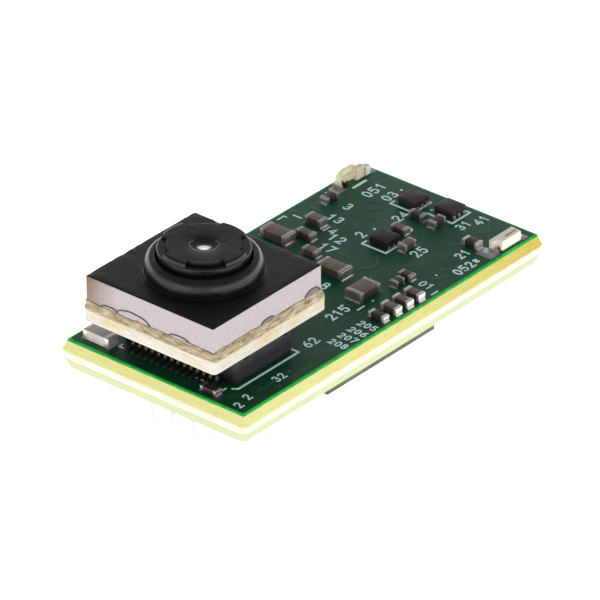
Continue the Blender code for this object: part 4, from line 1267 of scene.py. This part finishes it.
row(square_ring(3.05, 0.05, hz0), 1)
row(square_ring(h - 0.02, CR, hz0), 1)
row(square_ring(h, CR, hz0 + 0.03), 1)
for k in range(1, 9):
    row(square_ring(h, CR, hz0 + 0.03 + (TOP - 0.035 - hz0 - 0.03) * k / 8), 1 if k < 8 else 2)
for k in range(1, 5):
    a = k / 4 * math.pi / 2
    e = 0.035
    row(square_ring(h - e * (1 - math.cos(a)), CR, TOP - e * (1 - math.sin(a))), 2 if k < 4 else 0)
row(square_ring(h - 0.35, 0.2, TOP + 0.001), 0)
row(circle_ring(3.10, TOP + 0.002), 0)
row(circle_ring(2.885, TOP + 0.002), 0)
row(circle_ring(2.87, TOP + 0.012), 0)
row(circle_ring(2.87, 4.18), 0)
for k in range(0, 15):
    a = k / 14 * math.pi / 2
    row(circle_ring(2.87 - 0.36 * (1 - math.cos(a)), hz1 - 0.74 * (1 - math.sin(a))), 0)
row(circle_ring(2.42, hz1 + 0.0), 0)
row(circle_ring(2.34, hz1 - 0.015), 0)
row(circle_ring(2.295, hz1 - 0.07), 0)
row(circle_ring(2.28, hz1 - 0.12), 0)
row(circle_ring(2.28, 3.6), 0)
row(circle_ring(2.30, 3.36), 0)
row(square_ring(3.05, 0.05, 3.36), 0)
v, f, m = loft(secs, caps=False, rows=rm)
n = len(angs)
k = len(secs) - 1
for i in range(n):
    j = (i + 1) % n
    f.append((k * n + i, k * n + j, j, i))
    m.append(0)
# nibbled mould flash along two of the top edges
v2 = []
for x, y, z in v:
    if TOP - 0.05 < z < TOP + 0.01 and (abs(x - hc[0]) > h - 0.05 or abs(y - hc[1]) > h - 0.05):
        d = nz(x, y, z, 2.6, 11.0)
        back = x < hc[0] - h + 0.08 or y > hc[1] + h - 0.08
        z -= max(0.0, d - 0.15) * (0.09 if back else 0.02)
    v2.append((x, y, z))
# the rubbed-through rim shows along the two far edges only
for i, q in enumerate(f):
    cx_ = sum(v2[j][0] for j in q) / len(q)
    cy_ = sum(v2[j][1] for j in q) / len(q)
    cz_ = sum(v2[j][2] for j in q) / len(q)
    if m[i] == 2 and not (cx_ < hc[0] - h + 0.06 or cy_ > hc[1] + h - 0.06):
        m[i] = 0
    elif m[i] == 0 and cz_ > TOP - 0.001 and math.hypot(cx_ - LCX, cy_ - LCY) < 3.05:
        m[i] = 3
sh = Shape()
sh.add((v2, f, m))
sh.make("lens_holder_body", [M["holder"], M["holder_side"], M["holder_edge"], M["collar"]], "camera_module", ("lens_holder",),
        32)

# small crumbs of plastic and glue on the holder's edges
cr = Shape()
FX0, FX1, FY0, FY1 = hx0, hx1, hy0, hy1
for n, (x, y, z, s, mt) in enumerate(((FX0 + 0.02, -4.1, 4.09, 0.045, 1), (FX0 + 0.05, -4.0, 4.10, 0.03, 1),
                                      (FX0 + 0.55, -4.35, 4.10, 0.035, 0), (-2.9, FY1 - 0.01, 4.08, 0.04, 0),
                                      (-1.9, FY1 - 0.01, 4.07, 0.05, 0), (1.5, FY1, 4.06, 0.035, 0),
                                      (-1.35, FY0, 3.62, 0.030, 1), (-0.35, FY0, 3.50, 0.034, 1), (2.75, FY0, 2.86, 0.045, 1),
                                      (3.05, FY0, 2.80, 0.04, 1), (3.30, FY0, 3.02, 0.024, 1), (3.55, FY0, 3.05, 0.022, 1),
                                      (2.30, FY0, 3.02, 0.022, 1), (FX1, -10.6, 2.86, 0.03, 1), (FX1, -8.9, 2.84, 0.026, 1))):
    v, f, m = lathe(0, 0, [(0, 1.0)] + [(math.sin(a), math.cos(a)) for a in [math.pi * k / 7 for k in range(1, 7)]] +
                    [(0, -1.0)], 10)
    cr.add(([(x + a * s * (1 + 0.35 * nz(a, b, c, 1.3, n)), y + b * s * (0.8 + 0.4 * nz(a, b, c, 1.3, n + 5)),
              z + c * s * 0.7 * (1 + 0.3 * nz(a, b, c, 1.3, n + 9))) for a, b, c in v], f, m), mt)
cr.make("holder_edge_crumbs", [M["glue_dark"], M["module"]], "camera_module", sharp=80)

# ------------------------------------------------------------------ lens barrel
segs = []
PHASE, HALF = -47.5, 26.0
edges = []
for q in range(4):
    c = PHASE + 90 * q
    edges += [(c - HALF, "in"), (c + HALF, "out")]
cols = set()
for i in range(180):
    cols.add(round(i * 2.0 - 180, 3))
for e, _ in edges:
    for d in (-0.9, -0.45, -0.1, 0.1, 0.45, 0.9):
        a = ((e + d + 180) % 360) - 180
        cols.add(round(a, 3))
cols = sorted(cols)
cols = [a for i, a in enumerate(cols) if i == 0 or a - cols[i - 1] > 0.15]
NF = 5.38


def in_notch(a):
    """0 outside, 1 inside the notch, for an angle in degrees."""
    best = 0.0
    for q in range(4):
        d = abs(((a - (PHASE + 90 * q) + 180) % 360) - 180)
        best = max(best, min(max((HALF + 0.25 - d) / 0.5, 0.0), 1.0))
    return best


bz0, bz1 = LZ0, LZ1
PITCH = 0.35
prof = [(1.75, bz0 + 0.02), (1.79, bz0), (2.17, bz0), (2.21, bz0 + 0.03)]
zt = bz0 + 0.06
while zt < 5.02:
    prof.append((2.245, zt))
    zt += 0.045
n_thread = len(prof)
prof += [(2.245, 5.05), (2.25, 5.12), (2.25, 5.28), (2.25, 5.315), (2.246, 5.338), (2.236, 5.357), (2.222, 5.371),
         (2.205, 5.379), (2.195, 5.42), (2.183, 5.47), (2.170, 5.52), (2.155, 5.555), (2.132, 5.580), (2.100, 5.596),
         (2.06, 5.601), (1.98, 5.601), (1.90, 5.601), (1.835, 5.601), (1.812, 5.600), (1.78, 5.600), (1.5, 5.60),
         (1.2, 5.597), (1.04, 5.591), (0.90, 5.582), (0.78, 5.572), (0.72, 5.566), (0.69, 5.556), (0.665, 5.53),
         (0.64, 5.47), (0.615, 5.440), (0.58, 5.428), (0.53, 5.422), (0.48, 5.418), (0.42, 5.414), (0.368, 5.410),
         (0.350, 5.402), (0.345, 5.39), (0.345, 5.29), (0.36, 5.26), (0.42, 5.20), (0.60, 5.02), (1.0, 4.97), (1.75, 4.94)]
v, f, m = [], [], []
nc = len(cols)
for kr, (r, z) in enumerate(prof):
    for a in cols:
        rad = math.radians(a)
        rr_, zz_ = r, z
        if 4 <= kr < n_thread:
            ph = (z / PITCH - a / 360.0) % 1.0
            rr_ = r - 0.055 * (1 - min(1.0, abs(ph - 0.5) * 2.6)) * min(1.0, (5.06 - z) / 0.12)
        if z > NF and r > 1.82:
            k = in_notch(a)
            if k > 0:
                zz_ = z + (NF - z) * k
        v.append((LCX + rr_ * math.cos(rad), LCY + rr_ * math.sin(rad), zz_))
np_ = len(prof)
for kr in range(np_):
    k2 = (kr + 1) % np_
    for i in range(nc):
        j = (i + 1) % nc
        f.append((kr * nc + i, kr * nc + j, k2 * nc + j, k2 * nc + i))
        m.append(0)
sh = Shape()
sh.add((v, f, m))
sh.make("lens_barrel_body", [M["barrel"]], "barrel", ("lens_barrel",), 30)

# front element: a steep little dome right under the aperture
x0, x1, y0, y1, z0, z1 = nb("front_lens")
dome = [(0, 5.256)]
for k in range(1, 15):
    a = k / 14
    r = 0.335 * a
    dome.append((r, 5.256 - 0.034 * a * a))
dome += [(0.36, 5.19), (0.52, 5.02), (0.85, 4.955), (1.70, 4.90), (1.72, 4.88), (1.72, 4.52), (1.70, 4.50), (1.10, 4.50),
         (0.70, 4.60), (0.35, 4.645), (0, 4.66)]
sh = Shape()
sh.add(lathe(LCX, LCY, dome, 64))
sh.make("front_lens_glass", [M["lens"]], "optics", ("front_lens",), 40)

# ------------------------------------------------------------------ underside
x0, x1, y0, y1, z0, z1 = nb("processor_ic")
cx, cy = (x0 + x1) / 2, (y0 + y1) / 2
sh = Shape()
sh.add(rbox(cx, cy, x1 - x0, y1 - y0, z0 - 0.08, z0 + 0.52, 0.06, 0.04, 3, (10, 10)), 0)
sh.add(rbox(cx, cy, x1 - x0 - 0.02, y1 - y0 - 0.02, z0 + 0.50, z1 - 0.10, 0.05, 0.02, 3, (10, 10)), 1)
for i in range(12):
    for j in range(12):
        if 2 < i < 9 and 2 < j < 9 and (i + j) % 2:
            continue
        bx, by = cx - 3.575 + 0.65 * i, cy - 3.575 + 0.65 * j
        sh.add(lathe(bx, by, [(0, z1 + 0.005), (0.10, z1 + 0.005), (0.155, z1 - 0.055), (0.11, z1 - 0.11), (0, z1 - 0.112)], 12), 2)
sh.make("processor_package", [M["proc"], M["mask_low"], M["solder"]], "board", ("processor_ic",),
        40)

x0, x1, y0, y1, z0, z1 = nb("header_body")
cx, cy = (x0 + x1) / 2, (y0 + y1) / 2
sh = Shape()
pitch = (x1 - x0) / 5
for i in range(5):
    c = x0 + pitch * (i + 0.5)
    s = rbox(c, cy, pitch - 0.03, y1 - y0, z0, z1, 0.22, 0.05, 3, (2, 4))
    sh.add(s, 0)
sh.add(rbox(cx, cy, x1 - x0 - 0.4, y1 - y0 - 0.16, z0 + 0.02, z1 - 0.01, 0.1, 0.03, 3), 0)
for s in (-1, 1):
    sh.add(rbox(cx, cy + s * 0.9, x1 - x0 - 0.7, 0.24, z1 - 0.02, z1 + 0.13, 0.05, 0.02, 2), 0)
sh.make("header_body_moulding", [M["header"]], "board", ("header_body",), 40)

for r in (1, 2):
    for i in range(1, 6):
        node = "header_pin_%d_%d" % (r, i)
        x0, x1, y0, y1, z0, z1 = nb(node)
        out = -1 if r == 1 else 1
        px = (x0 + x1) / 2
        s = 0.20
        py = (y1 - s) if out < 0 else (y0 + s)
        w = s - 0.008
        sh = Shape()
        secs = []
        for z, k in ((z0, 0.40), (z0 + 0.02, 0.46), (z0 + 0.12, 0.75), (z0 + 0.24, 0.97), (z0 + 0.30, 1.0), (-1.6, 1.0)):
            secs.append(rr(px, py, w * k, w * k, 0.035, z, 3))
        sh.add(loft(secs), 0)
        foot = (y0 if out < 0 else y1)
        a = [(py - out * w, -1.55), (py + out * w, -1.55), (py + out * (w + 0.03), -1.50)]
        fp = [(py + out * w, z1 - 0.20), (py + out * (w + 0.05), z1 - 0.15), (py + out * (w + 0.12), z1 - 0.13),
              (foot - out * 0.03, z1 - 0.13), (foot, z1 - 0.10), (foot, z1 - 0.03), (foot - out * 0.03, z1),
              (py - out * w + out * 0.05, z1), (py - out * w, z1 - 0.05), (py - out * w, z1 - 0.24), (py + out * w, z1 - 0.24)]
        sh.add(loft([[(px - w, y, z) for y, z in fp], [(px + w, y, z) for y, z in fp]]), 0)
        fl = fillet(0.0, 0.40, 0.12, 0.11, 5, 5, i + r)
        fl = moved(fl, lambda x, y, z, out=out, px=px, foot=foot, zb=-T: (px + y, foot + out * x, zb - z))
        sh.add(fl, 1)
        sh.make(node + "_wire", [M["pin"], M["solder"]], "board", (node,), 35)

# pads, fine lines and printed frame on the lower face
lo = Shape()
for r, s in ((1, -1), (2, 1)):
    for i in range(5):
        x = (i - 2) * 1.27
        yy = (-8.44 if r == 1 else -7.17) + s * 1.15
        lo.add(rbox(x, yy, 0.62, 1.25, -T - 0.016, -T + 0.01, 0.06, 0.006, 3), 0)
for i in range(9):
    for j in range(3):
        x = -4.6 + 1.15 * i
        y = 5.2 + 1.7 * j + 0.25 * math.sin(i * 2.3 + j)
        if abs(x) < 5.0:
            lo.add(rbox(x, y, 0.42, 0.5, -T - 0.016, -T + 0.01, 0.05, 0.006, 2), 0)
            lo.add(rbox(x, y + 0.62, 0.42, 0.5, -T - 0.016, -T + 0.01, 0.05, 0.006, 2), 0)
            if (i + j) % 2 == 0:
                bdy = rbox(x, y + 0.31, 0.44, 0.86, -T - 0.36, -T - 0.03, 0.03, 0.03, 3)
                lo.add(bdy, 2)
                for q in (-1, 1):
                    lo.add(rbox(x, y + 0.31 + q * 0.36, 0.46, 0.24, -T - 0.37, -T - 0.012, 0.03, 0.03, 3), 3)
for pts in (((-3.6, -4.25), (5.0, -4.25), (5.0, 4.4), (-3.6, 4.4), (-3.6, -4.25)),):
    v, f, m = ribbon(list(pts), 0.12, 0, INK)
    lo.add(([(x, y, -T - z) for x, y, z in v], f, m), 1)
for i in range(10):
    v, f, m = ribbon(path((-4.9 + 0.16 * i, -4.6), (-4.9 + 0.16 * i, 4.6 + 0.1 * i)), 0.07, 0, TR_H) if i < 7 else \
        ribbon(path((-2 + i * 0.3, 4.5), (-2 + i * 0.3, 5.0), (-1 + i * 0.3, 6.0)), 0.08, 0, TR_H)
    lo.add(([(x, y, -T - z) for x, y, z in v], f, m), 4)
lo.make("board_underside_details", [M["pad"], M["silk"], M["mlcc"], M["tin"], M["mask_low"]], "board",
        sharp=42)

# ------------------------------------------------------------------ carried-over CAD nodes
for node, mt in (("image_sensor", "die"), ("infrared_filter", "filter"), ("lens_spacer", "ring"), ("rear_lens", "lens_in"),
                 ("retaining_ring", "ring")):
    ob = frame["nodes"][node]
    ob.data.materials.clear()
    ob.data.materials.append(M[mt])
    for p in ob.data.polygons:
        p.material_index = 0

# ------------------------------------------------------------------ setting
floor_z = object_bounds()[0].z - 0.00002
me = bpy.data.meshes.new("floor")
R = 0.9
me.from_pydata([(-R, -R, floor_z), (R, -R, floor_z), (R, R, floor_z), (-R, R, floor_z)], [], [(0, 1, 2, 3)])
floor = bpy.data.objects.new("floor", me)
bpy.context.scene.collection.objects.link(floor)
g = G("floor_white")
fm = g.done(g.mix(g.noise(30, 2), (0.93, 0.93, 0.93), (0.96, 0.96, 0.96)), 0.6, 0.0, None, 0.2,
            **{"Emission Color": (1.0, 1.0, 1.0), "Emission Strength": 1.15})
me.materials.append(fm)

AZ, EL = math.radians(39.86), math.radians(30.23)
BACK = Vector((math.sin(AZ) * math.cos(EL), -math.cos(AZ) * math.cos(EL), math.sin(EL)))
RIGHT = Vector((math.cos(AZ), math.sin(AZ), 0.0))
UP = BACK.cross(RIGHT)

world = bpy.data.worlds.new("studio")
bpy.context.scene.world = world
world.use_nodes = True
nt = world.node_tree
for nd in list(nt.nodes):
    nt.nodes.remove(nd)
tc = nt.nodes.new("ShaderNodeTexCoord")
sep = nt.nodes.new("ShaderNodeSeparateXYZ")
nt.links.new(tc.outputs["Generated"], sep.inputs[0])


def wmath(op, a, b=0.0):
    nd = nt.nodes.new("ShaderNodeMath")
    nd.operation = op
    for s, val in zip(nd.inputs, (a, b)):
        if isinstance(val, bpy.types.NodeSocket):
            nt.links.new(val, s)
        else:
            s.default_value = val
    return nd.outputs[0]


SKY_TOP, SKY_RIM, RIM_W = 0.30, 2.7, 0.22
q = wmath("DIVIDE", sep.outputs[2], RIM_W)
gauss = wmath("POWER", 2.718281828, wmath("MULTIPLY", wmath("MULTIPLY", q, q), -1.0))
lum = wmath("ADD", wmath("MULTIPLY", gauss, SKY_RIM), SKY_TOP)
# the rim of light is open on the near side
dvec = Vector((BACK.x, BACK.y, 0.0)).normalized()
dp = nt.nodes.new("ShaderNodeVectorMath")
dp.operation = "DOT_PRODUCT"
nt.links.new(tc.outputs["Generated"], dp.inputs[0])
dp.inputs[1].default_value = dvec
gap = wmath("POWER", 2.718281828, wmath("MULTIPLY", wmath("SUBTRACT", dp.outputs["Value"], 1.0), 30.0))
dp2 = nt.nodes.new("ShaderNodeVectorMath")
dp2.operation = "DOT_PRODUCT"
nt.links.new(tc.outputs["Generated"], dp2.inputs[0])
_a2 = AZ - math.radians(90.0) - math.radians(95.0)
dp2.inputs[1].default_value = Vector((math.cos(_a2), math.sin(_a2), 0.0))
gap2 = wmath("POWER", 2.718281828, wmath("MULTIPLY", wmath("SUBTRACT", dp2.outputs["Value"], 1.0), 12.0))
lum = wmath("ADD", wmath("MULTIPLY", wmath("MULTIPLY", wmath("MULTIPLY", gauss, SKY_RIM),
                                           wmath("SUBTRACT", 1.0, wmath("MULTIPLY", gap2, 0.65))),
                         wmath("SUBTRACT", 1.0, wmath("MULTIPLY", gap, 0.6))), SKY_TOP)
bg = nt.nodes.new("ShaderNodeBackground")
comb = nt.nodes.new("ShaderNodeCombineColor")
nt.links.new(wmath("MULTIPLY", lum, 1.0), comb.inputs[0])
nt.links.new(wmath("MULTIPLY", lum, 1.0), comb.inputs[1])
nt.links.new(wmath("MULTIPLY", lum, 1.01), comb.inputs[2])
nt.links.new(comb.outputs[0], bg.inputs["Color"])
bg.inputs["Strength"].default_value = 1.0
outw = nt.nodes.new("ShaderNodeOutputWorld")
nt.links.new(bg.outputs[0], outw.inputs["Surface"])

cam = bpy.data.cameras.new("camera")
cam_ob = bpy.data.objects.new("camera", cam)
bpy.context.scene.collection.objects.link(cam_ob)
target = Vector(P(0, 0, 0)) - RIGHT * 0.0001988 - UP * 0.000652
cam_ob.location = target + BACK * 0.340
cam_ob.rotation_euler = (-BACK).to_track_quat("-Z", "Y").to_euler()
cam.sensor_width = 36.0
cam.lens = 424.98
cam.clip_start = 0.01
cam.clip_end = 10.0
cam.dof.use_dof = False
bpy.context.scene.camera = cam_ob
bpy.context.scene.view_settings.view_transform = "Standard"
